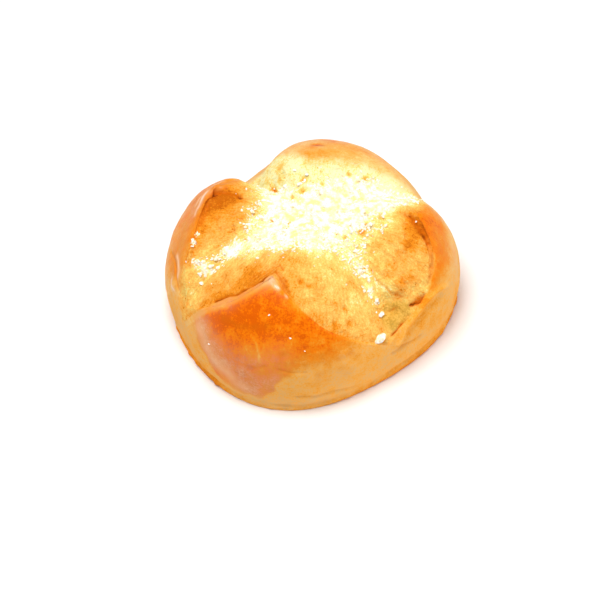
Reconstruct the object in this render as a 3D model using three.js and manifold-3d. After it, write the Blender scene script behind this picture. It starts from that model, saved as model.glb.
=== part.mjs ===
// A round coconut bread roll. It was slashed in a cross before baking, so four crusty petals stand
// around a star of torn crumb, and shreds of coconut lie in the star.
// Millimetres, Z up, standing on its flat base with the front towards -Y.
import * as THREE from 'three';
import { mergeVertices } from 'three/addons/utils/BufferGeometryUtils.js';
import Module from 'manifold-3d';

// Whole roll
const WAIST_HEIGHT = 11.5; // height at which the roll is widest
const DOME_TOP = 47.7; // height the dome would have if it had not been slashed
const DOME_POWER = 2.35; // squareness of the dome's section along the valleys, 2 is an ellipse
const WALL_POWER = 2.4; // squareness of the wall below the waist
const BASE_SHARE = 0.97; // base radius as a share of the waist radius
const PINCH_SPAN = 20; // height over which the valleys pinch in above the waist
const PINCH_FALL = [2, 3]; // how fast the pinch dies away before and after a valley

// Petals of crust, anticlockwise from the front: azimuth of the tip in degrees, tip radius, how far
// the tip is lifted and the distance over which that dies away, waist radius below it and squareness
// of its dome, bow of the crust edge before and after the tip, how far the bow leans towards the tip,
// lip of the crust edge before and after it, and how far towards the tip the lip keeps its height
const PETALS = [
  {
    azimuth: -116, tip: 29.0, lift: 2.2, fade: 16, reach: 50.8, power: 2.35,
    bow: [6.6, 9.6], lean: 0, lip: [0.7, 0.1], lipKept: 0.7,
  },
  {
    azimuth: -1, tip: 35.5, lift: 2.0, fade: 16, reach: 50.4, power: 2.35,
    bow: [9.4, 2.4], lean: 0.7, lip: [0.9, 0.3], lipKept: 1,
  },
  {
    azimuth: 78, tip: 18.5, lift: 1.8, fade: 16, reach: 50.0, power: 2.35,
    bow: [2.2, -1.0], lean: 0, lip: [0.1, 0.1], lipKept: 1,
  },
  {
    azimuth: 158, tip: 35.0, lift: 3.2, fade: 8, reach: 50.2, power: 2.05,
    bow: [-1.0, 1.5], lean: 0, lip: [0.6, 1.0], lipKept: 1,
  },
];
const LIP_FADE = 0.25; // share of the crust edge over which a lip dies away

// Valleys of the star, each after the petal of the same index: azimuth, how far out the slash ends
// as a share of the waist radius, waist radius there, the pinch of the dome, and how far the valley
// bends aside, positive towards the next petal
const VALLEYS = [
  { azimuth: -57, end: 0.992, reach: 44.6, pinch: 2.0, bend: 2.2 },
  { azimuth: 26, end: 0.92, reach: 48.0, pinch: 3.4, bend: 0 },
  { azimuth: 126, end: 0.92, reach: 46.2, pinch: 13.5, bend: 0 },
  { azimuth: 204.5, end: 0.975, reach: 48.8, pinch: 2.6, bend: -3.8 },
];
const STAR_CENTRE = new THREE.Vector3(2, -1, 42.8);
const PETAL_RISE = 1.3; // how late the ridge of a flank climbs to the petal's tip
const VALLEY_FALL = 2.0; // how late the floor of a valley drops to the slash's end
const FLANK_PUFF = 1.75; // above 1 the flanks bulge like pillows between the valleys

// Foot rim round the base
const FOOT_HEIGHT = 2.4;
const FOOT_FLARE = 0.7;
const FOOT_CREASE = 0.45;

// Broad unevenness, and the hollows (-) and knobs (+) of the torn flanks by place in the star
const LUMP_HEIGHT = 0.45;
const KNOBS = [
  { out: 0.88, around: 1.15, width: 4.8, height: -2.0 },
  { out: 0.95, around: 1.39, width: 2.2, height: -1.3 },
  { out: 0.8, around: 1.32, width: 3.4, height: 1.1 },
  { out: 0.64, around: 1.62, width: 4.5, height: 0.8 },
  { out: 0.5, around: 6.4, width: 5.0, height: -0.7 },
  { out: 0.86, around: 6.0, width: 4.0, height: -1.1 },
  { out: 0.97, around: 5.35, width: 6.0, height: 0.7 },
  { out: 0.72, around: 4.3, width: 5.0, height: 0.7 },
  { out: 0.6, around: 0.4, width: 6.0, height: 0.6 },
];

// Coconut shreds: a heap in the star with its centre and reach, trails along the valleys, and two
// large ones with the direction in which they lie, in degrees
const HEAP = { x: 4, y: 2, wide: 25, deep: 16, count: 64, length: [2.6, 1.5] };
const TRAILS = [
  { valley: 0, from: 0.36, to: 0.78, side: 0.03, count: 10, length: 1.9 },
  { valley: 1, from: 0.5, to: 0.86, side: 0.1, count: 5, length: 1.9 },
  { valley: 2, from: 0.45, to: 0.8, side: 0.1, count: 5, length: 1.9 },
  { valley: 3, from: 0.42, to: 0.92, side: -0.05, count: 14, length: 2.3 },
];
const LARGE_SHREDS = [
  { out: 0.975, around: 0.95, length: 5.8, turn: 25 },
  { out: 0.84, around: 1.03, length: 2.7, turn: 35 },
];
const SHRED_WIDTH = 0.62; // share of its length
const SHRED_THICKNESS = 0.42;
const SHRED_STAND = 0.08; // height of its middle above the crumb
const SHRED_SPACING = 0.46; // least gap between two middles, as a share of their lengths together
const GOLDEN_ANGLE = 2.399963;

// Mesh steps
const SECTORS = 8;
const STEPS_PER_SECTOR = 12;
const AROUND = SECTORS * STEPS_PER_SECTOR;
const STAR_RINGS = 12;
const DOME_RINGS = 13;
const WALL_LEVELS = [0.82, 0.64, 0.5, 0.4, 0.31, 0.25, 0.19, 0.1, 0];

function smooth(t) {
  const held = Math.min(1, Math.max(0, t));
  return held * held * (3 - 2 * held);
}

function mix(a, b, t) {
  return a + (b - a) * t;
}

// A number from 0 to 1 that depends only on its two arguments
function scatter(index, salt) {
  const wave = Math.sin(index * 12.9898 + salt * 78.233) * 43758.5453;
  return wave - Math.floor(wave);
}

// Petals and valleys in turn, as eight spokes round the roll
function spoke(index) {
  const turn = Math.floor(index / 2) % PETALS.length;
  return index % 2 === 0 ? PETALS[turn] : VALLEYS[turn];
}

// Plan point where a spoke meets the crust edge, before the pinch
function spokeEnd(index) {
  const { azimuth, tip, end, reach } = spoke(index);
  const radius = tip ?? end * reach;
  const angle = THREE.MathUtils.degToRad(azimuth);
  return new THREE.Vector2(radius * Math.cos(angle), radius * Math.sin(angle));
}

// The petal and valley on either side of a direction, and its share of the way to the petal
function between(angle) {
  const first = PETALS[0].azimuth;
  const turned = THREE.MathUtils.euclideanModulo(THREE.MathUtils.radToDeg(angle) - first, 360) + first;
  let index = SECTORS - 1;
  while (spoke(index).azimuth > turned) index -= 1;
  const start = spoke(index).azimuth;
  const stop = index === SECTORS - 1 ? first + 360 : spoke(index + 1).azimuth;
  const share = (turned - start) / (stop - start);
  const even = index % 2 === 0;
  return {
    petal: even ? spoke(index) : spoke((index + 1) % SECTORS),
    valley: even ? spoke(index + 1) : spoke(index),
    share: even ? 1 - share : share,
  };
}

function waistRadius(angle) {
  const { petal, valley, share } = between(angle);
  return mix(valley.reach, petal.reach, 0.5 - 0.5 * Math.cos(Math.PI * share));
}

function domePower(angle) {
  const { petal, share } = between(angle);
  return mix(DOME_POWER, petal.power, 0.5 - 0.5 * Math.cos(Math.PI * share));
}

// How far the dome is drawn in at a height, deepest and sharpest along the valleys
function pinch(angle, height) {
  const { petal, valley, share } = between(angle);
  const fall = PINCH_FALL[PETALS.indexOf(petal) === VALLEYS.indexOf(valley) ? 0 : 1];
  return valley.pinch * (1 - share) ** fall * smooth((height - WAIST_HEIGHT) / PINCH_SPAN);
}

// Crust edge at a place around the star: 0 to 8, whole numbers on the spokes
function crustEdge(around) {
  const index = Math.floor(around) % SECTORS;
  const share = around - Math.floor(around);
  const start = spokeEnd(index);
  const along = spokeEnd((index + 1) % SECTORS).sub(start);
  const side = index % 2 === 0 ? 1 : 0;
  const petal = PETALS[Math.floor((index + 1) / 2) % PETALS.length];
  const petalShare = side === 1 ? 1 - share : share;
  const lean = 1 + petal.lean * (petalShare - 0.5);
  const bow = (petal.bow[side] * lean * 4 * share * (1 - share)) / along.length();
  const x = start.x + along.x * share + bow * along.y;
  const y = start.y + along.y * share - bow * along.x;
  const angle = Math.atan2(y, x);
  const waist = waistRadius(angle);
  const slope = Math.asin(Math.min(0.999, (Math.hypot(x, y) / waist) ** (domePower(angle) / 2)));
  const lift = petal.lift * smooth(petalShare);
  const lipShare = smooth(petalShare * 3) * (1 - smooth((petalShare - petal.lipKept) / LIP_FADE));
  const lip = petal.lip[side] * lipShare;
  const point = domePoint(angle, waist, slope, lift);
  return { index, petal, angle, waist, slope, lift, lip, petalShare, point };
}

// Point of the dome at a slope angle, 0 at the top and a quarter turn at the waist
function domePoint(angle, waist, slope, lift) {
  const power = 2 / domePower(angle);
  const height = WAIST_HEIGHT + (DOME_TOP - WAIST_HEIGHT) * Math.max(0, Math.cos(slope)) ** power;
  const radius = waist * Math.sin(slope) ** power - pinch(angle, height);
  const raised = lift * Math.min(1, (height - WAIST_HEIGHT) / 10);
  return new THREE.Vector3(radius * Math.cos(angle), radius * Math.sin(angle), height + raised);
}

// Star of crumb: out runs from 0 at its centre to 1 on the crust edge
function starPoint(out, around) {
  const { index, point, petalShare, lip } = crustEdge(around);
  const even = index % 2 === 0;
  const tip = crustEdge(even ? index : (index + 1) % SECTORS).point.z;
  const end = crustEdge(even ? index + 1 : index).point.z;
  const ridge = mix(STAR_CENTRE.z, tip, out ** PETAL_RISE);
  const floor = mix(STAR_CENTRE.z, end, out ** VALLEY_FALL);
  const puffed = 1 - (1 - petalShare) ** FLANK_PUFF;
  const climb = mix(puffed, (point.z - end) / (tip - end), out ** 3);
  const sunk = out < 1 ? lip * smooth((out - 0.5) / 0.45) : 0;
  const aside = valleyAside(Math.floor(index / 2), out, petalShare);
  return new THREE.Vector3(
    mix(STAR_CENTRE.x, point.x, out) + aside.x,
    mix(STAR_CENTRE.y, point.y, out) + aside.y,
    mix(floor, ridge, climb) - sunk,
  );
}

// Plan shift that bends a valley aside halfway along it
function valleyAside(valley, out, petalShare) {
  const { x, y } = crustEdge(2 * valley + 1).point;
  const across = new THREE.Vector2(STAR_CENTRE.y - y, x - STAR_CENTRE.x).normalize();
  return across.multiplyScalar(VALLEYS[valley].bend * 4 * out * (1 - out) * (1 - petalShare) ** 2);
}

// Dome from the crust edge, down = 0, to the waist, down = 1
function crustPoint(down, around) {
  const { petal, angle, waist, slope, lift } = crustEdge(around);
  const here = mix(slope, Math.PI / 2, down);
  const power = 2 / domePower(angle);
  const below = waist * (Math.sin(here) ** power - Math.sin(slope) ** power);
  return domePoint(angle, waist, here, lift * Math.exp(-((below / petal.fade) ** 2)));
}

// Wall from the waist, level = 1, to the base, level = 0, with the foot rim at its bottom
function wallPoint(level, around) {
  const { angle, waist } = crustEdge(around);
  const depth = WAIST_HEIGHT / (1 - BASE_SHARE ** WALL_POWER) ** (1 / WALL_POWER);
  const height = level * WAIST_HEIGHT;
  const drawn = (1 - ((WAIST_HEIGHT - height) / depth) ** WALL_POWER) ** (1 / WALL_POWER);
  const rise = FOOT_HEIGHT * (1 + 0.35 * Math.sin(3 * angle + 1) * Math.sin(2 * angle));
  const strength = 0.7 + 0.3 * Math.sin(5 * angle + 2) * Math.cos(2 * angle - 1);
  const flare = FOOT_FLARE * strength * smooth((rise - height) / 1.6 + 0.3);
  const crease = FOOT_CREASE * strength * Math.exp(-(((height - rise - 0.7) / 1.1) ** 2));
  const radius = waist * drawn + flare - crease;
  return new THREE.Vector3(radius * Math.cos(angle), radius * Math.sin(angle), height);
}

// Rings of the roll from the star's centre outwards and down to the base
function rollRings() {
  const rings = [];
  for (let k = 1; k <= STAR_RINGS; k += 1) {
    const out = k < STAR_RINGS ? (0.965 * k) / (STAR_RINGS - 1) : 1;
    rings.push((around) => starPoint(out, around));
  }
  for (let k = 1; k <= DOME_RINGS; k += 1) {
    const down = (k / DOME_RINGS) ** 1.15;
    rings.push((around) => crustPoint(down, around));
  }
  for (const level of WALL_LEVELS) {
    rings.push((around) => wallPoint(level, around));
  }
  return rings;
}

// Closed smooth roll before the relief; its last ring is the base edge
function rollGeometry() {
  const points = [STAR_CENTRE.clone()];
  const rings = rollRings();
  for (const ring of rings) {
    for (let k = 0; k < AROUND; k += 1) points.push(ring(k / STEPS_PER_SECTOR));
  }
  const faces = [];
  const at = (ring, k) => 1 + ring * AROUND + (k % AROUND);
  for (let k = 0; k < AROUND; k += 1) faces.push(0, at(0, k), at(0, k + 1));
  for (let ring = 1; ring < rings.length; ring += 1) {
    for (let k = 0; k < AROUND; k += 1) {
      faces.push(at(ring - 1, k), at(ring, k), at(ring, k + 1));
      faces.push(at(ring - 1, k), at(ring, k + 1), at(ring - 1, k + 1));
    }
  }
  const last = rings.length - 1;
  const outline = points.slice(at(last, 0)).map((point) => new THREE.Vector2(point.x, point.y));
  for (const [a, b, c] of THREE.ShapeUtils.triangulateShape(outline, [])) {
    faces.push(at(last, a), at(last, c), at(last, b));
  }
  const geometry = new THREE.BufferGeometry().setFromPoints(points);
  geometry.setIndex(faces);
  return geometry;
}

// Height of the relief at a point of the smooth roll
function relief(point, knobs) {
  const broad = Math.sin(point.x / 7.3 + 1.1) * Math.sin(point.y / 8.1 + point.z / 9 + 0.4);
  const fine = Math.sin(point.x / 3.7 + point.z / 5 + 2) * Math.sin(point.y / 4.1 - 0.7);
  let height = LUMP_HEIGHT * (0.65 * broad + 0.35 * fine);
  for (const knob of knobs) {
    height += knob.height * Math.exp(-point.distanceToSquared(knob.place) / knob.width ** 2);
  }
  return height * smooth((point.z - FOOT_HEIGHT) / 5);
}

function placedKnobs() {
  return KNOBS.map((knob) => ({ ...knob, place: starPoint(knob.out, knob.around) }));
}

function addRelief(geometry) {
  const knobs = placedKnobs();
  geometry.computeVertexNormals();
  const { position, normal } = geometry.attributes;
  const point = new THREE.Vector3();
  const out = new THREE.Vector3();
  for (let k = 0; k < position.count; k += 1) {
    point.fromBufferAttribute(position, k);
    out.fromBufferAttribute(normal, k);
    point.addScaledVector(out, relief(point, knobs));
    position.setXYZ(k, point.x, point.y, point.z);
  }
  geometry.deleteAttribute('normal');
  return geometry;
}

// Place in the star under a plan point: the direction from the centre fixes around, then out
function placeInStar(x, y) {
  const towards = Math.atan2(y - STAR_CENTRE.y, x - STAR_CENTRE.x);
  let best = { turn: Infinity };
  for (let around = 0; around < SECTORS; around += 0.01) {
    const { point } = crustEdge(around);
    const angle = Math.atan2(point.y - STAR_CENTRE.y, point.x - STAR_CENTRE.x);
    const turn = Math.abs(Math.atan2(Math.sin(angle - towards), Math.cos(angle - towards)));
    const reach = Math.hypot(point.x - STAR_CENTRE.x, point.y - STAR_CENTRE.y);
    if (turn < best.turn) best = { turn, around, reach };
  }
  return { out: Math.hypot(x - STAR_CENTRE.x, y - STAR_CENTRE.y) / best.reach, around: best.around };
}

// Places and lengths of all the shreds, the largest first
function shredPlaces() {
  const shreds = [...LARGE_SHREDS];
  for (const trail of TRAILS) {
    for (let k = 0; k < trail.count; k += 1) {
      const out = mix(trail.from, trail.to, (k + 0.5) / trail.count);
      const around = 2 * trail.valley + 1 + trail.side + 0.22 * (scatter(k, trail.valley) - 0.5);
      shreds.push({ out, around, length: trail.length * mix(0.75, 1.15, scatter(k, 5)) });
    }
  }
  for (let k = 0; k < HEAP.count; k += 1) {
    const share = Math.sqrt((k + 0.5) / HEAP.count);
    const x = HEAP.x + HEAP.wide * share * Math.cos(k * GOLDEN_ANGLE);
    const y = HEAP.y + HEAP.deep * share * Math.sin(k * GOLDEN_ANGLE);
    const place = placeInStar(x, y);
    const length = mix(HEAP.length[0], HEAP.length[1], scatter(k, 9));
    if (place.out < 0.93) shreds.push({ ...place, length });
  }
  return shreds.sort((a, b) => b.length - a.length);
}

// Shreds that lie clear of every larger one, each with its point on the uneven surface
function shredsApart() {
  const knobs = placedKnobs();
  const kept = [];
  for (const shred of shredPlaces()) {
    const place = starPoint(shred.out, shred.around);
    place.z += relief(place, knobs);
    const clear = (other) => other.place.distanceTo(place) > SHRED_SPACING * (other.length + shred.length);
    if (kept.every(clear)) kept.push({ ...shred, place });
  }
  return kept;
}

// One torn shred: a flattened faceted lump with uneven corners, lying askew and half sunk
function shredGeometry({ place, length, turn }, index) {
  const geometry = new THREE.IcosahedronGeometry(1, 0);
  geometry.deleteAttribute('normal');
  geometry.deleteAttribute('uv');
  const lump = mergeVertices(geometry);
  const { position } = lump.attributes;
  for (let k = 0; k < position.count; k += 1) {
    const swell = mix(0.78, 1.15, scatter(k, index));
    position.setXYZ(k, position.getX(k) * swell, position.getY(k) * swell, position.getZ(k) * swell);
  }
  lump.scale(length / 2, (length * SHRED_WIDTH) / 2, (length * SHRED_THICKNESS) / 2);
  lump.rotateX(mix(-0.45, 0.45, scatter(index, 1)));
  lump.rotateY(mix(-0.35, 0.35, scatter(index, 2)));
  lump.rotateZ(THREE.MathUtils.degToRad(turn ?? 180 * scatter(index, 3)));
  lump.translate(place.x, place.y, place.z + SHRED_STAND * length);
  return lump;
}

function toSolid(wasm, geometry) {
  const vertProperties = Float32Array.from(geometry.attributes.position.array);
  const triVerts = Uint32Array.from(geometry.index.array);
  return new wasm.Manifold(new wasm.Mesh({ numProp: 3, vertProperties, triVerts }));
}

function toGeometry(solid) {
  const { vertProperties, triVerts } = solid.getMesh();
  const geometry = new THREE.BufferGeometry();
  geometry.setAttribute('position', new THREE.BufferAttribute(vertProperties, 3));
  geometry.setIndex(new THREE.BufferAttribute(triVerts, 1));
  return geometry;
}

// The roll with its shreds joined on, its base centred on the origin
async function breadRoll() {
  const wasm = await Module();
  wasm.setup();
  let solid = toSolid(wasm, addRelief(rollGeometry()));
  for (const [index, shred] of shredsApart().entries()) {
    solid = solid.add(toSolid(wasm, shredGeometry(shred, index)));
  }
  const geometry = toGeometry(solid);
  geometry.computeBoundingBox();
  const { min, max } = geometry.boundingBox;
  geometry.translate(-(min.x + max.x) / 2, -(min.y + max.y) / 2, -min.z);
  const crust = new THREE.MeshStandardMaterial({ color: 0xdf9a4e, roughness: 0.5, metalness: 0 });
  const mesh = new THREE.Mesh(geometry, crust);
  mesh.name = 'bread_roll';
  return mesh;
}

const roll = new THREE.Group();
roll.add(await breadRoll());

export default roll;
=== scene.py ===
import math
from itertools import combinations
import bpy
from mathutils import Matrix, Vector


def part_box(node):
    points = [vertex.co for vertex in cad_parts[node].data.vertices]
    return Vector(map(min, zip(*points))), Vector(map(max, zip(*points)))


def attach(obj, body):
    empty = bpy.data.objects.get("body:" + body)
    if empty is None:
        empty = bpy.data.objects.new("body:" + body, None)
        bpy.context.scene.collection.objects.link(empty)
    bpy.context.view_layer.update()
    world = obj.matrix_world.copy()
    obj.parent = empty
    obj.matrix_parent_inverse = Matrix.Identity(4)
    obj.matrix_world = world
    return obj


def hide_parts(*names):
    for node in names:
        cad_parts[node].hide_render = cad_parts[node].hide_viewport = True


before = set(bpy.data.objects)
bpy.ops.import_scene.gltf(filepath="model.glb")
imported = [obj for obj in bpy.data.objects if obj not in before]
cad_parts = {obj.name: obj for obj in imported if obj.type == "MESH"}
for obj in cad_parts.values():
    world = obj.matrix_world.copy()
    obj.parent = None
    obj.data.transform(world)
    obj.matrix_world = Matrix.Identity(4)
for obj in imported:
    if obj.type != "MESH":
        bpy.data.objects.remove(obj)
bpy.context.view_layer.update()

# A round coconut bread roll, slashed in a cross before baking: four glossy petals of crust stand
# around a star of torn crumb that is sprinkled with coconut. Lengths are in millimetres until a
# mesh is made; Z is up and the front is towards -Y. A place on the roll is given by its zone (star,
# crust or wall), its share of the way through that zone, and its place around from 0 to 8, with
# whole numbers on the petals' tips and the valleys' ends.
from types import SimpleNamespace

import bpy
import numpy as np
from mathutils import Euler, Matrix, Vector

NODE = "bread_roll"
BODY = "root"
MM = 0.001

# Whole roll
WAIST_HEIGHT = 11.5  # height at which the roll is widest
DOME_TOP = 47.7  # height the dome would have if it had not been slashed
DOME_POWER = 2.35  # squareness of the dome's section along the valleys, 2 is an ellipse
WALL_POWER = 2.4  # squareness of the wall below the waist
BASE_SHARE = 0.97  # base radius as a share of the waist radius
PINCH_SPAN = 20.0  # height over which the valleys pinch in above the waist
PINCH_FALL = (2.0, 3.0)  # how fast the pinch dies away before and after a valley
LIFT_SPAN = 10.0  # height above the waist over which the lift of a tip sets in

# Petals of crust, anticlockwise from the front: azimuth and radius of the tip, how far the tip is
# lifted and the distance over which that dies away, waist radius and squareness of the dome, then
# bow and lip of the crust edge before and after the tip, how far the bow leans towards the tip, and
# how far towards the tip the lip keeps its height
PETAL_AZIMUTH = np.array([-116.0, -1.0, 78.0, 158.0])
PETAL_TIP = np.array([29.0, 35.5, 18.5, 35.0])
PETAL_LIFT = np.array([2.2, 2.0, 1.8, 3.2])
PETAL_FADE = np.array([16.0, 16.0, 16.0, 8.0])
PETAL_REACH = np.array([50.8, 50.4, 50.0, 50.2])
PETAL_POWER = np.array([2.35, 2.35, 2.35, 2.05])
PETAL_BOW = np.array([[6.6, 9.6], [9.4, 2.4], [2.2, -1.0], [-1.0, 1.5]])
PETAL_LIP = np.array([[0.7, 0.1], [0.9, 0.3], [0.1, 0.1], [0.6, 1.0]])
PETAL_LEAN = np.array([0.0, 0.7, 0.0, 0.0])
PETAL_LIP_KEPT = np.array([0.7, 1.0, 1.0, 1.0])
LIP_START = 1.0 / 3.0  # share of the crust edge over which a lip sets in
LIP_FADE = 0.25  # share of the crust edge over which a lip dies away
LIP_HOLLOW = (0.5, 0.95)  # where the crumb sinks below a lip
LIP_STEP = (0.968, 0.998)  # where it steps up again to the crust

# Valleys of the star, each after the petal of the same index: azimuth, where the slash ends as a
# share of the waist radius, waist radius there, pinch of the dome, and bend towards the next petal
VALLEY_AZIMUTH = np.array([-57.0, 26.0, 126.0, 204.5])
VALLEY_END = np.array([0.992, 0.92, 0.92, 0.975])
VALLEY_REACH = np.array([44.6, 48.0, 46.2, 48.8])
VALLEY_PINCH = np.array([2.0, 3.4, 13.5, 2.6])
VALLEY_BEND = np.array([2.2, 0.0, 0.0, -3.8])

STAR_CENTRE = np.array([2.0, -1.0, 42.8])
PETAL_RISE = 1.3  # how late the ridge of a flank climbs to the petal's tip
VALLEY_FALL = 2.0  # how late the floor of a valley drops to the slash's end
FLANK_PUFF = 1.75  # above 1 the flanks bulge like pillows between the valleys
EDGE_PULL = 3  # how late a flank takes on the height of the crust edge
SECTORS = 8

# Foot rim round the base, which waves up and down and is stronger in places
FOOT_HEIGHT = 2.4
FOOT_FLARE = 0.7
FOOT_CREASE = 0.45
FOOT_WAVE = 0.35
FOOT_STRENGTH = (0.7, 0.3)

# Broad lumps: height, share of the finer ones, and the height over which they set in above the foot
LUMP_HEIGHT = 0.45
LUMP_FINE = 0.35
LUMP_START = 5.0

# The tables of spots give each soft round spot by zone: its share of the zone in percent, its place
# around, its width and its amount.
# Hollows (-) and knobs (+) of the torn flanks:
KNOBS = dict(star=(
    (88, 1.15, 4.8, -2), (95, 1.39, 2.2, -1.3), (80, 1.32, 3.4, 1.1), (64, 1.62, 4.5, 0.8),
    (50, 6.4, 5, -0.7), (86, 6, 4, -1.1), (97, 5.35, 6, 0.7), (72, 4.3, 5, 0.7), (60, 0.4, 6, 0.6),
))

# Small pits (-) and blisters (+)
PITS = dict(star=(
    (78, 0.25, 0.8, -0.6), (76, 0.34, 0.9, -0.6), (81, 0.72, 1, -0.8), (90, 0.74, 0.9, -0.7),
    (94, 0.61, 1, -0.5), (92, 1.17, 1, -0.7), (79, 1.05, 0.9, -0.7), (82, 1.01, 0.9, -0.6),
    (62, 0.52, 0.9, -0.4), (78, 1.34, 1.2, -0.8), (79, 1.69, 2.2, -0.8), (71, 1.24, 1.2, -0.7),
    (98, 5.97, 1.3, -1.2), (72, 6.2, 1.3, -0.7), (80, 6.45, 1.2, -0.7), (66, 6.55, 1.3, -0.6),
    (80, 3.6, 1, -0.6), (70, 4.2, 1.2, -0.6),
), crust=(
    (57, 6.68, 1.8, 0.8), (25, 4.04, 1.6, -0.3), (88, 7.91, 1.5, 0.45), (21, 7.38, 1.6, 0.5),
    (46, 7.86, 1.3, 0.3),
))

# Lines over the roll by zone: half width, depth (- for a ridge), darkness (- for a pale drip), and
# the places along each. Folds and cracks are deep, and browned bands are broad and have no depth.
# Along folds, cracks and holes the darkness is painted shade; along browned bands it is browning.
LINES = dict(star=(
    (0.75, 0.7, 0.95, ((100, 5.97), (96, 5.88), (89, 5.82), (79, 5.83), (72, 5.9))),
    (1.1, -0.7, 0, ((100, 5.82), (93, 5.71), (85, 5.68), (78, 5.7))),
    (0.9, 0.8, 1.5, ((100, 5.98), (95.5, 5.89))),
    (0.7, 0.6, 0.6, ((100, 6), (97, 6.12), (97, 6.22), (97, 6.32))),
    (0.6, 0.5, 0.95, ((95, 7.34), (92, 7.49), (94, 7.6), (92, 7.73), (93, 7.86))),
    (0.65, 0.3, 0.85, ((93, 7.86), (91.5, 7.93), (92.5, 8), (92.5, 8.06), (95, 8.17))),
    (0.6, 0.3, 0.65, ((89.5, 7.93), (90, 8), (89.5, 8.05), (90, 8.12))),
    (0.6, 0.3, 0.6, ((95.5, 8.02), (95, 8.06), (98, 8.15))),
    (0.6, 0.4, 0.7, ((90, 7.7), (87, 7.83), (83, 7.95), (83, 8.05))),
    (0.6, 0.3, 0.6, ((86, 7.62), (81, 7.76), (77, 7.9))),
    (0.6, 0.3, 0.45, ((80, 7.6), (74, 7.72), (70, 7.87))),
    (0.7, 0.2, 0.5, ((67, 1.14), (75, 1.18), (82, 1.21), (88, 1.27))),
    (0.6, 0.3, 0.3, ((60, 1.44), (66, 1.46), (71, 1.44))),
    (0.6, 0.3, 0.25, ((56, 1.66), (66, 1.74), (76, 1.76))),
    (0.55, 1.3, 1.1, ((95.5, 1.29), (97, 1.35), (99.2, 1.42))),
    (0.8, -0.6, 0, ((94, 1.36), (96.5, 1.44))),
    (0.7, 0.8, 0.95, ((93, 1.99), (95.5, 1.9), (96.5, 1.8))),
    (0.5, 0.6, 0.6, ((96.5, 1.8), (97.5, 1.68), (97.5, 1.56))),
    (0.5, 0.4, 0.4, ((97.5, 1.56), (97, 1.48))), (0.6, 0.3, 0.6, ((88, 2.02), (91, 1.96), (93, 1.88))),
    (0.4, 0.3, 0.5, ((87, 1.08), (89, 1.13), (90.5, 1.19))),
    (0.5, 0.3, 0.45, ((80, 1.37), (83, 1.36), (86, 1.38))),
    (0.5, 0.3, 0.4, ((70, 1.56), (73, 1.52), (76, 1.51))),
    (0.5, 0.5, 0.8, ((98.5, 1.05), (99.5, 1.1), (98.5, 1.16))),
    (0.4, 0.4, 0.5, ((98.5, 1.18), (98, 1.23))), (0.5, 0.1, 0.15, ((80, 1.05), (82, 1.13), (88, 1.24))),
), crust=(
    (1, 0.1, 0.7, ((23, 4.01), (25, 4.06))), (0.6, 0.2, 0.4, ((91, 7.86), (90, 7.9), (91, 7.93))),
    (0.6, 0.2, 0.36, ((80, 8), (77, 8.04), (73, 8.08))), (6, 0, 0.26, ((81, 0.44), (76, 0.6))),
    (4.5, 0, 0.38, ((58, 0.2), (57, 0.37), (51, 0.53), (38, 0.7))),
    (1.8, 0, 0.48, ((26, 7.6), (34, 7.69), (41, 7.85), (43, 8), (36, 8.06))),
    (0.8, 0.5, 0.28, ((81, 1.02), (86, 1.14), (97, 1.29))),
    (1, -0.9, 0, ((54, 1.08), (17, 1.18), (10, 1.38), (28, 1.54), (58, 1.67))),
    (1.6, 0.6, 0.16, ((80, 1.12), (45, 1.22), (34, 1.38), (52, 1.56))),
    (0.6, 0.45, 0.4, ((56, 6.35), (45, 6.48), (43, 6.58), (45, 6.67), (43, 6.79))),
    (0.4, -0.2, -0.4, ((54, 8.02), (62, 8.04), (71, 8.05))),
    (0.5, 0.2, 0.42, ((74, 0.15), (76, 0.21), (76, 0.28), (75, 0.34))),
), wall=(
    (0.7, 0.5, 0.25, ((78, 0.26), (70, 0.41), (73, 0.54), (55, 0.7))),
))

# Looks around the roll, one value for each half sector, from the front petal's tip anticlockwise:
# width over which the crust turns into crumb, how much its sharp edge is rounded off, darkness and
# width of the crease along it (a darker edge with painted shade in its groove), browning and
# roughness of the crumb, reach of the coconut and share of the grains, browning of the crust, how
# much of it is lost on the way down, how much of it is left where no egg wash was brushed on, and
# browning of the lower wall
EDGE_SOFTNESS = (2, 0.9, 1.2, 1.5, 3, 5, 8, 10, 10, 10, 6, 3, 1.5, 1, 2, 0.6)
EDGE_ROUNDING = (0.8, 0.5, 0.3, 0.3, 0.3, 0.2, 0.2, 0.2, 0.2, 0.2, 0.2, 0.3, 0.3, 0.3, 0.5, 0.9)
EDGE_CREASE_AND_SHADE = (0, 0, 0.1, 0.3, 0.3, 0.1, 0, 0, 0, 0, 0, 0.1, 0.4, 0.7, 0, 0)
CREASE_WIDTH = (0.5, 0.5, 0.8, 1.1, 1.2, 0.8, 0.8, 0.8, 0.8, 0.8, 0.8, 0.8, 0.7, 0.6, 0.5, 0.4)
CRUMB_TOAST = (0.5, 0.37, 0.33, 0.28, 0.46, 0.12, 0, 0, 0.02, 0.05, 0.04, 0.3, 0.54, 0.5, 0.32, 0.56)
CRUMB_ROUGHNESS = (0.6, 0.5, 0.7, 1.4, 1.5, 0.8, 0.8, 0.9, 0.9, 0.9, 0.8, 0.9, 1, 1.2, 0.8, 0.7)
COCONUT_REACH = (
    0.44, 0.29, 0.33, 0.36, 0.55, 0.84, 0.9, 0.68, 0.58, 0.62, 0.8, 0.57, 0.43, 0.41, 0.5, 0.46,
)
GRAIN_SHARE = (0.3, 0.7, 1, 1, 1, 1, 1, 1, 1, 1, 1, 1, 1, 1, 1, 0.3)
CRUST_BAKE = (
    0.98, 0.78, 0.36, 0.58, 0.72, 0.3, 0.06, 0.08, 0.28, 0.12, 0.06, 0.44, 0.66, 0.54, 0.18, 0.98,
)
CRUST_FADE = (0.4, 0.46, 0.2, 0.4, 0.5, 0.6, 0.6, 0.6, 0.6, 0.6, 0.6, 0.6, 0.6, 0.6, 0.45, 0.4)
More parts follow.
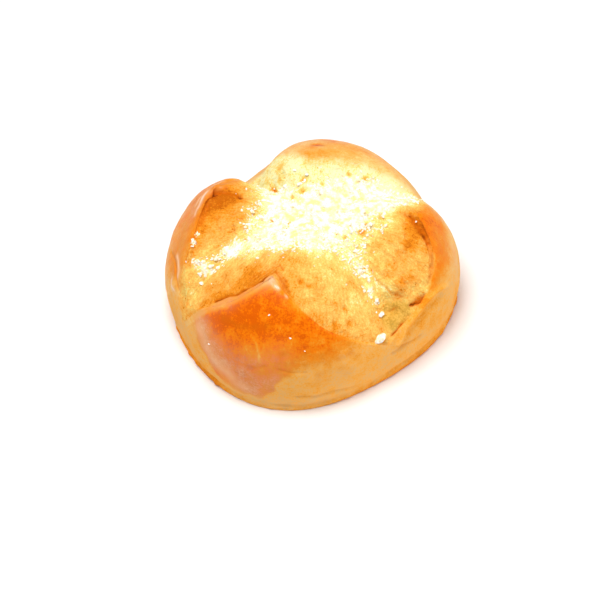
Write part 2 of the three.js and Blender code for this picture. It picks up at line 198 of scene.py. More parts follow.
BARE_SHARE = (0.3, 0.6, 0.66, 1, 1, 1, 1, 1, 1, 1, 1, 1, 1, 1, 1, 0.5)
WALL_BAKE = (0.04, 0.1, 0.34, 0.4, 0.4, 0.3, 0.3, 0.3, 0.3, 0.3, 0.3, 0.3, 0.3, 0.28, 0.4, 0.45)

# How far the torn crumb reaches below the crust edge (+), or the crust above it (-): place around
# and distance
EDGE_DROP = (
    (0, -0.9), (0.06, -1.5), (0.14, -1.3), (0.25, -0.4), (0.5, 0), (4.1, 0), (4.25, 9), (4.4, 22),
    (4.6, 28), (4.9, 27), (5.1, 10), (5.25, 0), (5.5, -4), (5.8, -3), (5.95, 0), (6.45, 0), (6.57, 2.5),
    (6.66, 5.5), (6.75, 8.5), (6.85, 9), (7.05, 8), (7.2, 2), (7.3, -1), (7.36, -2), (7.49, -2.9),
    (7.6, -2.2), (7.73, -2.6), (7.88, -2), (7.95, -1.5),
)

# Painted highlight along the front petal's lip and tip: place around, width, and share of the browning kept
PAINTED_HIGHLIGHT_RIM = (
    (0, 3, 0.4), (0.12, 1.6, 0.5), (0.4, 0, 1), (6.9, 2, 1), (7.1, 3.6, 0.4), (7.6, 4.6, 0.42),
    (7.87, 4.6, 0.42),
)

# How far down the egg wash runs, 1 at the waist and 1.5 at the base: azimuth, reach, and how softly
# it ends
WASH_REACH = (
    (-164, 0.6, 0.3), (-155, 0.45, 0.4), (-147, 0.72, 0.24), (-140, 0.9, 0.12), (-132, 1.08, 0.08),
    (-123, 1.3, 0.06), (-113, 1.3, 0.05), (-108, 1.06, 0.05), (-103, 0.8, 0.06), (-97, 0.74, 0.22),
    (-92, 0.66, 0.45), (-84, 0.5, 0.6), (-76, 0.15, 0.5), (-57, -0.3, 0.3), (-33, -0.2, 0.3),
    (-26, 0.25, 0.4), (-15, 0.6, 0.5), (5, 0.7, 0.5), (26, 0.2, 0.4), (50, 0.5, 0.4), (78, 0.8, 0.4),
    (105, 0.6, 0.4), (126, 0.1, 0.3), (145, 0.8, 0.3), (170, 1, 0.3), (190, 0.95, 0.2),
)

# Spots baked darker (+) or paler (-). The dark spots on pits and holes are painted shade; the pale
# ones at the front petal's tip and on the left petal's blister are painted highlights, and those
# along the right petal's edge a painted reflection
BAKE_SHADE_AND_HIGHLIGHT_PATCHES = dict(star=(
    (94, 1.92, 4, 0.3), (79, 1.69, 2.6, 0.3), (79, 1.4, 4, 0.12), (71, 1.24, 2, 0.2),
    (81, 5.9, 3.4, 0.3), (90, 5.96, 3.4, 0.4), (87, 6.1, 4.5, 0.18), (98, 5.97, 1.4, 0.6),
    (82, 7.75, 6, 0.05), (81, 0.72, 1, 0.4), (90, 0.74, 1, 0.45), (94, 0.61, 1.2, 0.35),
    (78, 0.25, 0.9, 0.4), (76, 0.34, 1, 0.4), (98, 1.38, 1.6, 0.4), (90, 4.62, 1.2, 0.24),
    (70, 4.2, 1.2, 0.55), (80, 3.6, 0.8, 0.5), (80, 0.14, 6, 0.08), (62, 1.62, 1.4, 0.2),
    (55, 1.5, 1.2, 0.3), (60, 6.3, 1.4, 0.2), (82, 1.5, 5, 0.1), (90, 7.25, 6, 0.12),
    (84, 1.86, 6, 0.12), (90, 6.8, 6, -0.12), (97, 6.96, 6, -0.12), (90, 1.85, 3, 0.12),
    (84, 6.12, 5, 0.1), (72, 7.55, 6, 0.12), (62, 5.95, 5, 0.1), (79, 1.98, 4, -0.16),
    (77, 1.72, 2.4, 0.1), (70, 1.53, 1.5, 0.2), (81, 1.32, 1.6, 0.3), (86, 1.44, 2, 0.18),
    (66, 1.38, 1.4, 0.14), (90, 6.62, 4.5, -0.14), (91, 0.27, 3.4, -0.2),
), crust=(
    (10, 4.45, 1.8, 0.3), (4, 4.08, 3.4, 0.12), (25, 4.04, 1.5, 0.75), (45, 6.6, 1.6, 0.25),
    (57, 6.68, 1.4, -0.25), (89, 7.92, 1.5, 0.28), (21, 7.38, 2, 0.12), (4, 0, 3.4, -0.4),
    (85, 7.75, 9, 0.16), (95, 8, 7, 0.14), (62, 1.72, 8, -0.35), (62, 2.1, 8, -0.3),
    (30, 7.82, 6, 0.14), (20, 4.06, 2, 0.25), (36, 3.98, 2.2, 0.15), (39, 8.04, 1.1, 0.25),
    (80, 8.01, 1.4, 0.35), (19, 1.86, 5, 0.14), (52, 3.95, 11, 0.26), (45, 3.55, 8, 0.2),
    (60, 4.25, 7, 0.18), (45, 5.4, 8, 0.12), (50, 2.5, 8, 0.16),
))

# Spots painted pinkish brown for the pale room's reflection in the glaze, and of crust baked to a duller
# brown
PAINTED_REFLECTION_PATCHES = dict(crust=(
    (25, 7.26, 4, 0.5), (50, 7.38, 4.5, 0.6), (75, 7.5, 5, 0.6), (74, 7.68, 5, 0.5),
    (88, 7.84, 5.5, 0.5), (95, 8, 5.5, 0.5), (92, 7.58, 3.5, 0.6), (74, 8, 4.5, 0.4),
    (93, 8.12, 4.5, 0.7), (64, 8.15, 5, 0.3), (2, 7.98, 2.8, 0.8),
), wall=(
    (75, 8, 5.5, 0.6),
), star=(
    (97, 7.4, 3, 0.5), (97, 7.55, 3, 0.5), (97, 7.7, 2.6, 0.5), (97, 7.85, 2.6, 0.6),
))
BROWN_PATCHES = dict(crust=(
    (8, 6.05, 5, 0.6), (20, 6.25, 6, 0.6), (30, 6.45, 6, 0.6), (50, 6.62, 6, 0.5), (30, 5.85, 7, 0.5),
    (5, 5.7, 5, 0.4), (19, 1.82, 5, 0.35), (18, 1.95, 5, 0.25),
), star=(
    (96, 5.72, 4, 0.6),
))

# Moist hollow at the end of the front right valley
MOIST_POCKET = dict(star=(
    (86, 1.09, 3.4, 0.7), (91, 1.18, 3.4, 0.8), (96, 1.23, 3.2, 0.8), (91, 1.06, 3.2, 0.8),
    (95, 1.13, 3.2, 0.8),
))

# Spots where the egg wash pooled and dried glossy
GLOSS_PATCHES = dict(crust=(
    (4, 0.02, 2.6, 0.6), (5, 6.05, 2.6, 0.9), (14, 6.15, 2.6, 0.8), (57, 6.68, 2.2, 1),
    (62, 1.85, 6, 0.5),
), star=(
    (97, 5.77, 1.6, 0.7),
))

# Painted highlights and reflections, as pale streaks by zone: half width, amount, and the places along each
PAINTED_HIGHLIGHT_LINES = dict(crust=(
    (0.8, 0.7, ((38, 6.48), (34, 6.56), (33, 6.64), (40, 6.69))), (0.7, 0.8, ((59, 6.62), (58, 6.73))),
    (1.1, 0.8, ((7, 5.9), (9, 6))), (0.9, 0.8, ((9, 6), (8, 6.12))),
    (0.6, 0.7, ((10, 6.12), (10, 6.2))), (0.9, 0.6, ((5, 5.8), (3, 5.72), (1, 5.62))),
    (0.7, 0.6, ((14, 5.98), (16, 6.06))), (1.3, 0.5, ((2, 7.98), (3, 8.01))),
    (0.6, 0.9, ((4, 8.05), (3, 8.08))), (0.5, 0.8, ((2, 8.15), (2, 8.16))),
    (3.2, 0.45, ((52, 7.3), (66, 7.38), (80, 7.46))), (3.2, 0.4, ((88, 7.56), (93, 7.67), (98, 7.82))),
    (2.4, 0.6, ((64, 1.96), (76, 1.88))),
), wall=(
    (2.6, 0.4, ((96, 7.86), (88, 7.93))),
))

# Clumps of coconut outside the heap, and bare toasted pits in it
CLUMPS = dict(star=(
    (87, 6.83, 2.2, 0.9), (80, 6.95, 1.5, 0.8), (95, 6.72, 1.2, 0.6), (66, 6.9, 2.6, 0.9),
    (57, 6.95, 3.2, 0.9), (75, 6.86, 1.5, 0.5), (42, 1.02, 4, 0.3), (50, 1.03, 3.4, 0.32),
    (58, 1.02, 2.8, 0.4), (65, 1.01, 2.2, 0.6), (71, 1, 1.5, 0.7), (77, 1.01, 1, 0.6),
    (48, 6.4, 5, 0.45), (60, 5.6, 4.5, 0.3), (98, 6.44, 0.9, 0.6), (99, 6.53, 1, 0.7),
))
HEAP_GAPS = dict(star=(
    (77, 4.92, 1.3, 0.9), (53, 4.31, 1.2, 0.8), (18, 7.05, 1, 0.7), (22, 7.2, 0.9, 0.7),
    (80, 3.4, 1, 0.8), (40, 1.63, 1.2, 0.8), (30, 1.19, 1, 0.6), (47, 4.75, 0.9, 0.7),
    (44, 1.8, 0.9, 0.7), (60, 3.9, 0.8, 0.6), (34, 6.45, 0.9, 0.7), (68, 4.95, 1.5, 0.7),
))

# Noise in each look and in the relief: what is even, then amount, size, layers and number of each noise
NOISES = dict(
    edge_broad=(0.0, (1.0, 4.0, 1, 2)),
    edge_fine=(0.0, (0.2, 1.7, 1, 3)),
    wash=(0.0, (0.07, 6.0, 1, 31), (0.05, 2.4, 1, 32)),
    fade=(0.0, (0.08, 8.0, 1, 4)),
    crust=(0.0, (0.08, 6.0, 1, 6), (0.05, 2.6, 1, 7)),
    wall=(0.0, (0.10, 7.0, 1, 9)),
    toast=(0.0, (0.12, 5.0, 3, 8)),
    reach=(0.0, (0.07, 6.0, 1, 11)),
    dust=(1.0, (0.20, 2.6, 2, 12)),
    crease=(0.9, (0.6, 3.0, 1, 33)),
    fold=(0.85, (0.45, 1.9, 1, 39)),
    foot=(0.4, (1.0, 5.0, 1, 35)),
    moist=(0.0, (0.22, 2.5, 2, 34)),
    painted_highlight=(1.0, (0.3, 2.6, 2, 38)),
    patch=(1.0, (0.35, 3.0, 3, 36)),
    torn=(0.0, (0.34, 5.0, 1, 20), (0.26, 2.5, 1, 21), (0.14, 1.4, 1, 22)),
    fibre=(0.0, (0.22, 1.8, 1, 28)),
    pore=(0.0, (1.0, 1.9, 1, 23)),
    skin=(0.0, (0.12, 4.5, 1, 24), (0.06, 1.8, 1, 25)),
    powder=(0.20, (0.08, 1.4, 1, 26)),
    jagged=(0.0, (0.50, 2.2, 1, 27)),
    cluster=(0.35, (1.6, 2.4, 1, 37)),
)
LAYER_FINER = 2.1
LAYER_WEAKER = 1.9

# Borders of the looks. A span is where a look begins and where it is full, by share, level or height.
EDGE_WANDER = (0.25, 0.15)  # of the crust's border: least, and more where it is soft
ARC_BULGE = 1.12  # length of the crust's arc over its chord
WALL_SHARE = 0.5  # of its height, as part of the egg wash's way down
FADE_SPAN = (0.15, 0.90)
RIM_SOFTNESS = 2.8
WALL_SPAN = (1.0, 0.2)
LOW_WALL_SPAN = (0.7, 0.2)
# The wall browns more low down and at the foot, partly as painted shade where it turns under
HIGH_WALL_BAKE = 0.5
FOOT_BAKE_AND_SHADE = 0.24
FOOT_SPAN = (0.30, 0.10)
BASE_BAKE = 0.72
TOAST_SPAN = (-0.15, 0.27)  # past the coconut's reach
TOAST_LEAST = 0.15
OUTER_SPAN = (0.6, 1.0)
OUTER_TOAST = (0.85, 1.15)
EDGE_TOAST = 0.25
EDGE_TOAST_WIDTH = 4.0
PALE_EVEN = 0.35  # how much of the unevenness the palest crumb has
PALE_SPAN = (0.0, 0.3)
GAP_TOAST = 0.6
HEAP_SPAN = (-0.22, 0.22)
COVER_LOWEST = 0.16  # share of the crust below which no coconut lies
CREASE_INSET = 0.4  # how far inside the edge it lies, over its width
FOOT_SHADE = dict(dark=0.28, above=0.9, width=0.8)
MOIST_SPAN = (0.50, 0.85)

# Fine relief
ROUNDING_WIDTH = 1.3
CRUST_LENGTH = 40.0
FIBRES = dict(radius=45.0, stretch=0.22, crust=30.0, wall=12.0)  # how the pull runs over the roll
PORE_SPAN = (0.48, 0.68)
PORE_DEPTH = 0.45
GAP_DEPTH = 0.5
JAGGED_SPAN = (4.5, 2.5)
BASE_SPAN = (0.0, 1.5)

# Coconut shreds: a heap in the star with its centre and reach, trails along the valleys, and two
# large ones with their place in the star, length and direction in degrees
SHRED_HEAP = dict(x=4.0, y=2.0, wide=25.0, deep=16.0, count=64, length=(2.6, 1.5))
HEAP_EDGE = 0.93  # share of the star beyond which no shred of the heap lies
TRAILS = (
    dict(valley=0, start=0.36, stop=0.78, side=0.03, count=10, length=1.9),
    dict(valley=1, start=0.50, stop=0.86, side=0.10, count=5, length=1.9),
    dict(valley=2, start=0.45, stop=0.80, side=0.10, count=5, length=1.9),
    dict(valley=3, start=0.42, stop=0.92, side=-0.05, count=14, length=2.3),
)
TRAIL_WANDER = 0.22
TRAIL_LENGTHS = (0.75, 1.15)
LARGE_SHREDS = ((0.975, 0.95, 5.8, 25.0), (0.84, 1.03, 2.7, 35.0))
SHRED_WIDTH = 0.62  # share of its length
SHRED_THICKNESS = 0.42
SHRED_STAND = 0.08  # height of its middle above the crumb
SHRED_SPACING = 0.46  # least gap between two middles, as a share of their lengths together
SHRED_SWELL = (0.78, 1.15)
SHRED_TILT = (0.45, 0.35)
SHRED_UNEVEN = 0.10
SHRED_LUMP = 0.5
GOLDEN_ANGLE = 2.399963

# Coconut grains strewn where the heap thins out, and single specks with zone, share and place around
GRAIN_SEED = 11
GRAIN_COUNT = 1350
GRAIN_LOWEST = 20.0
GRAIN_LENGTH = (0.6, 1.7)
GRAIN_SMALLNESS = 2.0  # above 1 the small ones are more
GRAIN_SWELL = (0.7, 1.2)
GRAIN_WIDTH = (0.4, 0.8)
GRAIN_THICKNESS = (0.18, 0.4)
GRAIN_TILT = 0.4
GRAIN_STAND = 0.06
GRAIN_THINNING = (1.3, 0.9)  # how late they start from the heap's border, and how few lie inside it
GRAIN_STRAY = 0.0003
SPECK_LENGTH = 1.0
SPECKS = (
    ("crust", 27, 0.06), ("crust", 37, 0.22), ("crust", 69, 7.49), ("crust", 46, 0.33), ("star", 98, 6.44),
    ("crust", 1, 6.51), ("crust", 1, 6.56), ("crust", 12, 6.66), ("star", 95, 1.95), ("star", 70, 7.98),
)

# Mesh steps, and steps of a line for each of its corners
LINE_STEPS = 6
AROUND_STEPS = 446
SECTOR_FINENESS = (1.25, 1.15, 0.85, 0.75, 0.75, 0.95, 1.10, 1.25)
STAR_RINGS = 88
STAR_SPAN = (0.012, 0.988)
EDGE_RINGS = (0.994, 1.0)
DOME_RINGS = 72
WALL_RINGS = 26
BASE_RINGS = 5

# Colours of the bread by how far it is baked, and of what lies on it
WASH_STOPS = (
    (0.00, (0.95, 0.64, 0.22)), (0.20, (0.92, 0.45, 0.085)), (0.42, (0.89, 0.31, 0.022)),
    (0.66, (0.90, 0.225, 0.003)), (0.86, (0.88, 0.165, 0.001)), (1.00, (0.74, 0.115, 0.001)),
)
WALL_STOPS = (
    (0.00, (0.86, 0.48, 0.17)), (0.25, (0.95, 0.46, 0.10)), (0.45, (0.95, 0.38, 0.042)),
    (0.70, (0.90, 0.28, 0.012)), (1.00, (0.62, 0.18, 0.012)),
)
CRUMB_STOPS = (
    (0.00, (0.99, 0.93, 0.52)), (0.10, (0.98, 0.83, 0.31)), (0.24, (0.97, 0.64, 0.15)),
    (0.45, (0.96, 0.46, 0.090)), (0.70, (0.90, 0.29, 0.015)), (1.00, (0.60, 0.14, 0.004)),
)
MOIST_STOPS = ((0.30, (0.50, 0.225, 0.016)), (0.50, (0.65, 0.33, 0.038)), (0.72, (0.82, 0.50, 0.10)))
# Crease colours: dark orange, then near black where painted shade fills holes and deep folds
CREASE_AND_SHADE_STOPS = ((0.75, (0.66, 0.145, 0.003)), (1.0, (0.26, 0.05, 0.004)))
# Pinkish browns of the painted reflection in the glaze
PAINTED_REFLECTION_STOPS = ((0.30, (0.74, 0.26, 0.095)), (0.50, (0.81, 0.34, 0.15)), (0.70, (0.87, 0.41, 0.20)))
# Colours of the painted highlights and reflections
PAINTED_HIGHLIGHT_STOPS = ((0.45, (0.97, 0.56, 0.29)), (1.0, (0.98, 0.80, 0.66)))
COCONUT_STOPS = ((0.30, (0.88, 0.68, 0.38)), (0.46, (0.96, 0.88, 0.68)), (0.62, (0.99, 0.97, 0.90)))
DUST_STOPS = ((0.32, (0.98, 0.90, 0.34)), (0.47, (0.99, 0.95, 0.64)), (0.60, (0.99, 0.98, 0.92)))
FLOOR_STOPS = ((0.3, (0.92, 0.92, 0.92)), (0.7, (0.95, 0.95, 0.95)))
BROWN_COLOUR = (0.72, 0.265, 0.042)
BROWN_MOST = 0.85
MOIST_MOST = 0.8

# Weights of the fine noises in each part of the bread's colour; even is a share that is always there
WEIGHTS = dict(
    stain=dict(mottle=1.2, freckle=0.65, fine=0.45, streak=0.5),
    bare=dict(mottle=0.8, freckle=0.45, fine=0.55),
    torn=dict(mottle=0.5, freckle=0.4, fine=0.45, streak=0.5, pore=0.32),
    # The next two are for the pinkish painted reflection in the glaze
    painted_reflection=dict(mottle=1.4, freckle=0.7, fine=0.3, even=0.90),
    painted_reflection_tone=dict(mottle=0.8, freckle=0.7, fine=0.7, pore=0.2, even=0.5),
    moist=dict(mottle=1.2, freckle=0.6, fine=0.5, streak=0.5, pore=-0.3, even=0.54),
    powder=dict(freckle=2.0, mottle=1.6, fine=0.5, pore=-0.5),
    flake=dict(freckle=0.2, fleck=1.3, even=0.5),
)
FINE_NOISES = dict(mottle=(3.5, 4.0, 0.6), freckle=(0.8,), fine=(0.45, 1.0), fleck=(2.6,))
STREAKS = (1.0, 3.0, 0.6)  # as above: size in millimetres, detail and roughness
# Cells whose dark middles paint the shade in the crumb's pores
PORE_SHADE_SIZE = 1.5
PORE_SHADE_SPAN = (0.30, 0.10)
PITTED_MOTTLE = (0.0, 0.12)
CRUST_WRINKLES = ((4.0, -0.16), (2.3, -0.12))  # size and weight of the hairlines
CRUMB_WRINKLES = ((3.0, 0.20), (1.6, 0.14))
HAIRLINE = (0.022, 0.004)
HAIRLINE_BREAKS = (0.0, 0.10)
WRINKLED_TOAST = (0.1, 0.5)
STAINED_BAKE = (0.3, 0.8, 0.45, 1.0)
CREASE_SPAN = (0.0, 0.9)
POWDER_SPAN = (0.32, 0.76)
DUST_SPAN = (0.0, 0.3)

# Light: strength of the white room, and panels with their name, place, size and power in watts
ROOM_LIGHT = 0.27
PANELS = (
    ("overhead_panel", (-0.12, -0.04, 0.92), 0.50, 8.2),
    ("left_panel", (-0.95, -0.15, 0.45), 0.45, 0.3),
    ("right_panel", (0.95, -0.30, 0.40), 0.50, 3.2),
)
LIGHT_AIM = (0.0, 0.0, 0.03)
FLOOR_HALF = 3000.0

# Camera: looks down on the level roll as steeply as the photo shows it
VIEW_ELEVATION = 51.7
VIEW_ROLL = 3.2
VIEW_DISTANCE = 0.7
VIEW_HEIGHT = 0.025
FOCAL_PIXELS = 2082.0
IMAGE_PIXELS = 600.0
ROLL_PIXEL = (309.8, 249.7)
SENSOR = 36.0


def smooth(t):
    held = np.clip(t, 0.0, 1.0)
    return held * held * (3.0 - 2.0 * held)


def rise(value, begin, full):
    """0 until a value begins, 1 once it is full, and smooth between."""
    return smooth((value - begin) / (full - begin))


def bell(distance, width):
    """1 at no distance, dying away over the width."""
    return np.exp(-(distance / width) ** 2)


def mix(a, b, t):
    return a + (b - a) * t


def fraction_of_wave(wave):
    """A number from 0 to 1 that looks like chance, from a wave that never repeats on whole numbers."""
    high = wave * 43758.5453
    return high - np.floor(high)


def scatter(index, salt):
    """A number from 0 to 1 that depends only on its two arguments."""
    return fraction_of_wave(math.sin(index * 12.9898 + salt * 78.233))


def value_noise(points, size, seed=0):
    """Smooth noise from -1 to 1 whose lumps have the given size."""
    cell = points / size + 17.3 * (seed + 1)
    base = np.floor(cell)
    part = cell - base
    blend = part * part * (3.0 - 2.0 * part)
    total = np.zeros(len(points))
    for corner in np.ndindex(2, 2, 2):
        near = np.array(corner)
        weight = np.prod(np.where(near, blend, 1.0 - blend), axis=1)
        total += weight * fraction_of_wave(np.sin((base + near) @ np.array([127.1, 311.7, 74.7]) + seed))
    return 2.0 * total - 1.0


def uneven(points, look):
    """The even part of a look and its noises, each in layers of ever finer lumps."""
    even, *rows = NOISES[look]
    total = np.full(len(points), even)
    for amount, size, layers, seed in rows:
        for k in range(layers):
            layer = value_noise(points, size / LAYER_FINER ** k, seed + 3 * k)
            total += amount * layer / LAYER_WEAKER ** k
    return total


# Form of the roll

SPOKE_AZIMUTH = np.ravel(np.column_stack([PETAL_AZIMUTH, VALLEY_AZIMUTH]))
SPOKE_RADIUS = np.ravel(np.column_stack([PETAL_TIP, VALLEY_END * VALLEY_REACH]))
SPOKE_X = SPOKE_RADIUS * np.cos(np.radians(SPOKE_AZIMUTH))
SPOKE_Y = SPOKE_RADIUS * np.sin(np.radians(SPOKE_AZIMUTH))
CLOSED_AZIMUTH = np.append(SPOKE_AZIMUTH, SPOKE_AZIMUTH[0] + 360.0)


def between(angle):
    """Valley and petal on either side of a direction, and its share of the way to the petal."""
    first = SPOKE_AZIMUTH[0]
    turned = (np.degrees(angle) - first) % 360.0 + first
    index = np.searchsorted(SPOKE_AZIMUTH, turned, side="right") - 1
    share = (turned - CLOSED_AZIMUTH[index]) / (CLOSED_AZIMUTH[index + 1] - CLOSED_AZIMUTH[index])
    even = index % 2 == 0
    petal = np.where(even, index // 2, (index + 1) // 2 % 4)
    return index // 2, petal, np.where(even, 1.0 - share, share)


def waist_radius(angle):
    valley, petal, share = between(angle)
    return mix(VALLEY_REACH[valley], PETAL_REACH[petal], 0.5 - 0.5 * np.cos(np.pi * share))


def dome_power(angle):
    _, petal, share = between(angle)
    return mix(DOME_POWER, PETAL_POWER[petal], 0.5 - 0.5 * np.cos(np.pi * share))


def pinch(angle, height):
    """How far the dome is drawn in at a height, deepest along the valleys."""
    valley, petal, share = between(angle)
    fall = np.where(petal == valley, PINCH_FALL[0], PINCH_FALL[1])
    return VALLEY_PINCH[valley] * (1.0 - share) ** fall * smooth((height - WAIST_HEIGHT) / PINCH_SPAN)


def round_point(angle, radius, height):
    return np.stack([radius * np.cos(angle), radius * np.sin(angle), height], axis=-1)


def dome_point(angle, waist, slope, lift):
    """Point of the dome at a slope angle, 0 at the top and a quarter turn at the waist."""
    power = 2.0 / dome_power(angle)
    height = WAIST_HEIGHT + (DOME_TOP - WAIST_HEIGHT) * np.maximum(0.0, np.cos(slope)) ** power
    radius = waist * np.sin(slope) ** power - pinch(angle, height)
    raised = lift * np.minimum(1.0, (height - WAIST_HEIGHT) / LIFT_SPAN)
    return round_point(angle, radius, height + raised)


def crust_edge(around):
    """Crust edge by place around the star, 0 to 8, with whole numbers on the spokes."""
    around = np.asarray(around, float) % SECTORS
    index = np.floor(around).astype(int)
    share = around - index
    after = (index + 1) % SECTORS
    along_x = SPOKE_X[after] - SPOKE_X[index]
    along_y = SPOKE_Y[after] - SPOKE_Y[index]
    side = 1 - index % 2
    petal = (index + 1) // 2 % 4
    petal_share = np.where(side == 1, 1.0 - share, share)
    lean = 1.0 + PETAL_LEAN[petal] * (petal_share - 0.5)
    bow = PETAL_BOW[petal, side] * lean * 4.0 * share * (1.0 - share) / np.hypot(along_x, along_y)
    x = SPOKE_X[index] + along_x * share + bow * along_y
    y = SPOKE_Y[index] + along_y * share - bow * along_x
    angle = np.arctan2(y, x)
    waist = waist_radius(angle)
    slope = np.arcsin(np.minimum(0.999, (np.hypot(x, y) / waist) ** (dome_power(angle) / 2.0)))
    lift = PETAL_LIFT[petal] * smooth(petal_share)
    lip = PETAL_LIP[petal, side] * smooth(petal_share / LIP_START)
    lip = lip * (1.0 - smooth((petal_share - PETAL_LIP_KEPT[petal]) / LIP_FADE))
    return SimpleNamespace(index=index, petal=petal, angle=angle, waist=waist, slope=slope, lift=lift,
                           lip=lip, petal_share=petal_share, point=dome_point(angle, waist, slope, lift))


def valley_aside(valley, out, petal_share):
    """Plan shift that bends a valley aside halfway along it."""
    ends = crust_edge(2.0 * np.arange(4) + 1.0).point[:, :2] - STAR_CENTRE[:2]
    across = np.column_stack([-ends[:, 1], ends[:, 0]]) / np.hypot(*ends.T)[:, None]
    shift = VALLEY_BEND[valley] * 4.0 * out * (1.0 - out) * (1.0 - petal_share) ** 2
    return across[valley] * shift[..., None]


def star_point(out, around):
    """Star of crumb: out runs from 0 at its centre to 1 on the crust edge."""
    edge = crust_edge(around)
    spokes = crust_edge(np.arange(SECTORS)).point[:, 2]
    even = edge.index % 2 == 0
    after = (edge.index + 1) % SECTORS
    tip = np.where(even, spokes[edge.index], spokes[after])
    end = np.where(even, spokes[after], spokes[edge.index])
    ridge = mix(STAR_CENTRE[2], tip, out ** PETAL_RISE)
    floor = mix(STAR_CENTRE[2], end, out ** VALLEY_FALL)
    puffed = 1.0 - (1.0 - edge.petal_share) ** FLANK_PUFF
    climb = mix(puffed, (edge.point[..., 2] - end) / (tip - end), out ** EDGE_PULL)
    sunk = edge.lip * rise(out, *LIP_HOLLOW) * (1.0 - rise(out, *LIP_STEP))
    plan = mix(STAR_CENTRE[:2], edge.point[..., :2], out[..., None])
    plan = plan + valley_aside(edge.index // 2, out, edge.petal_share)
    return np.concatenate([plan, (mix(floor, ridge, climb) - sunk)[..., None]], axis=-1)


def crust_point(down, around):
    """Dome from the crust edge, down = 0, to the waist, down = 1."""
    edge = crust_edge(around)
    here = mix(edge.slope, np.pi / 2.0, down)
    power = 2.0 / dome_power(edge.angle)
    below = edge.waist * (np.sin(here) ** power - np.sin(edge.slope) ** power)
    return dome_point(edge.angle, edge.waist, here, edge.lift * bell(below, PETAL_FADE[edge.petal]))


def wall_point(level, around):
    """Wall from the waist, level = 1, to the base, level = 0, with the foot rim at its bottom."""
    edge = crust_edge(around)
    angle = edge.angle
    depth = WAIST_HEIGHT / (1.0 - BASE_SHARE ** WALL_POWER) ** (1.0 / WALL_POWER)
    height = level * WAIST_HEIGHT
    drawn = (1.0 - ((WAIST_HEIGHT - height) / depth) ** WALL_POWER) ** (1.0 / WALL_POWER)
    top = FOOT_HEIGHT * (1.0 + FOOT_WAVE * np.sin(3.0 * angle + 1.0) * np.sin(2.0 * angle))
    least, more = FOOT_STRENGTH
    strength = least + more * np.sin(5.0 * angle + 2.0) * np.cos(2.0 * angle - 1.0)
    flare = FOOT_FLARE * strength * smooth((top - height) / 1.6 + 0.3)
    crease = FOOT_CREASE * strength * bell(height - top - 0.7, 1.1)
    return round_point(angle, edge.waist * drawn + flare - crease, height)


# Places on the roll

ZONES = dict(star=star_point, crust=crust_point, wall=wall_point)


def surface_points(zone, shares, around):
    return ZONES[zone](np.atleast_1d(np.asarray(shares, float)), np.atleast_1d(np.asarray(around, float)))


def spots(points, places):
    """Sum of soft round spots."""
    total = np.zeros(len(points))
    for zone, rows in places.items():
        for share, around, width, amount in rows:
            away = points - surface_points(zone, share / 100.0, around)
            total += amount * np.exp(-np.sum(away ** 2, axis=1) / width ** 2)
    return total


def line_distance(points, zone, corners):
    """Distance from each point to a line that runs over the roll through the given places."""
    steps = np.linspace(0.0, len(corners) - 1.0, LINE_STEPS * len(corners))
    shares, around = (np.interp(steps, np.arange(len(corners)), column) for column in np.array(corners).T)
    ends = surface_points(zone, shares / 100.0, around)
    nearest = np.full(len(points), np.inf)
    for start, stop in zip(ends, ends[1:]):
        along = stop - start
        share = np.clip((points - start) @ along / (along @ along), 0.0, 1.0)
        nearest = np.minimum(nearest, np.linalg.norm(points - start - share[:, None] * along, axis=1))
    return nearest


def soft_lines(points, places):
    """What each line's row says, and how near every point lies to it, 1 on the line."""
    lines = []
    for zone, rows in places.items():
        for half, *values, corners in rows:
            lines.append((*values, bell(line_distance(points, zone, corners), half)))
    return lines


def by_half_sector(values, place):
    return np.interp(place.around, np.arange(len(values)) / 2.0, values, period=SECTORS)


def by_row(rows, where, period):
    """The other columns of a table, read between the places in its first column."""
    places, *columns = np.array(rows).T
    return [np.interp(where, places, column, period=period) for column in columns]


# Mesh of the roll, ring by ring from the star's centre to the middle of the base

def around_places():
    """Places around the roll, finest at the front and sides, with one on each spoke."""
    places = []
    for index, wide in enumerate(np.diff(CLOSED_AZIMUTH) / 360.0):
        steps = round(AROUND_STEPS * SECTOR_FINENESS[index] * wide)
        places.append(index + np.arange(steps) / steps)
    return np.concatenate(places)


def roll_surface():
    """Points of the smooth roll with where each one lies: its place around, out, down and level."""
    around = around_places()
    ones = np.ones(len(around))
    rows = []
    for out in np.append(np.linspace(*STAR_SPAN, STAR_RINGS - len(EDGE_RINGS)), EDGE_RINGS):
        rows.append((star_point(out * ones, around), out, 0.0, 1.0))
    for down in np.linspace(0.0, 1.0, DOME_RINGS + 1)[1:]:
        rows.append((crust_point(down * ones, around), 1.0, down, 1.0))
    for level in np.linspace(1.0, 0.0, WALL_RINGS + 1)[1:]:
        rows.append((wall_point(level * ones, around), 1.0, 1.0, level))
    rim = rows[-1][0]
    for share in np.linspace(1.0, 0.0, BASE_RINGS + 1)[1:-1]:
        rows.append((rim * share, 1.0, 1.0, -1.0))

    def spread(column, first, last):
        return np.concatenate([[first]] + [row[column] * ones for row in rows] + [[last]])

    points = np.concatenate([STAR_CENTRE[None]] + [row[0] for row in rows] + [np.zeros((1, 3))])
    place = SimpleNamespace(points=points, out=spread(1, 0.0, 1.0), down=spread(2, 0.0, 1.0),
                            level=spread(3, 1.0, -1.0))
    place.around = np.concatenate([[0.0], np.tile(around, len(rows)), [0.0]])
    return place, len(around), len(rows)


def ring_faces(count, rings):
    near = np.arange(count)
    far = (near + 1) % count
    faces = [(0, 1 + a, 1 + b) for a, b in zip(near, far)]
    for ring in range(1, rings):
        inner = 1 + (ring - 1) * count
        outer = inner + count
        faces += list(zip(inner + near, outer + near, outer + far, inner + far))
    last = 1 + (rings - 1) * count
    return faces + [(last + a, last + count, last + b) for a, b in zip(near, far)]


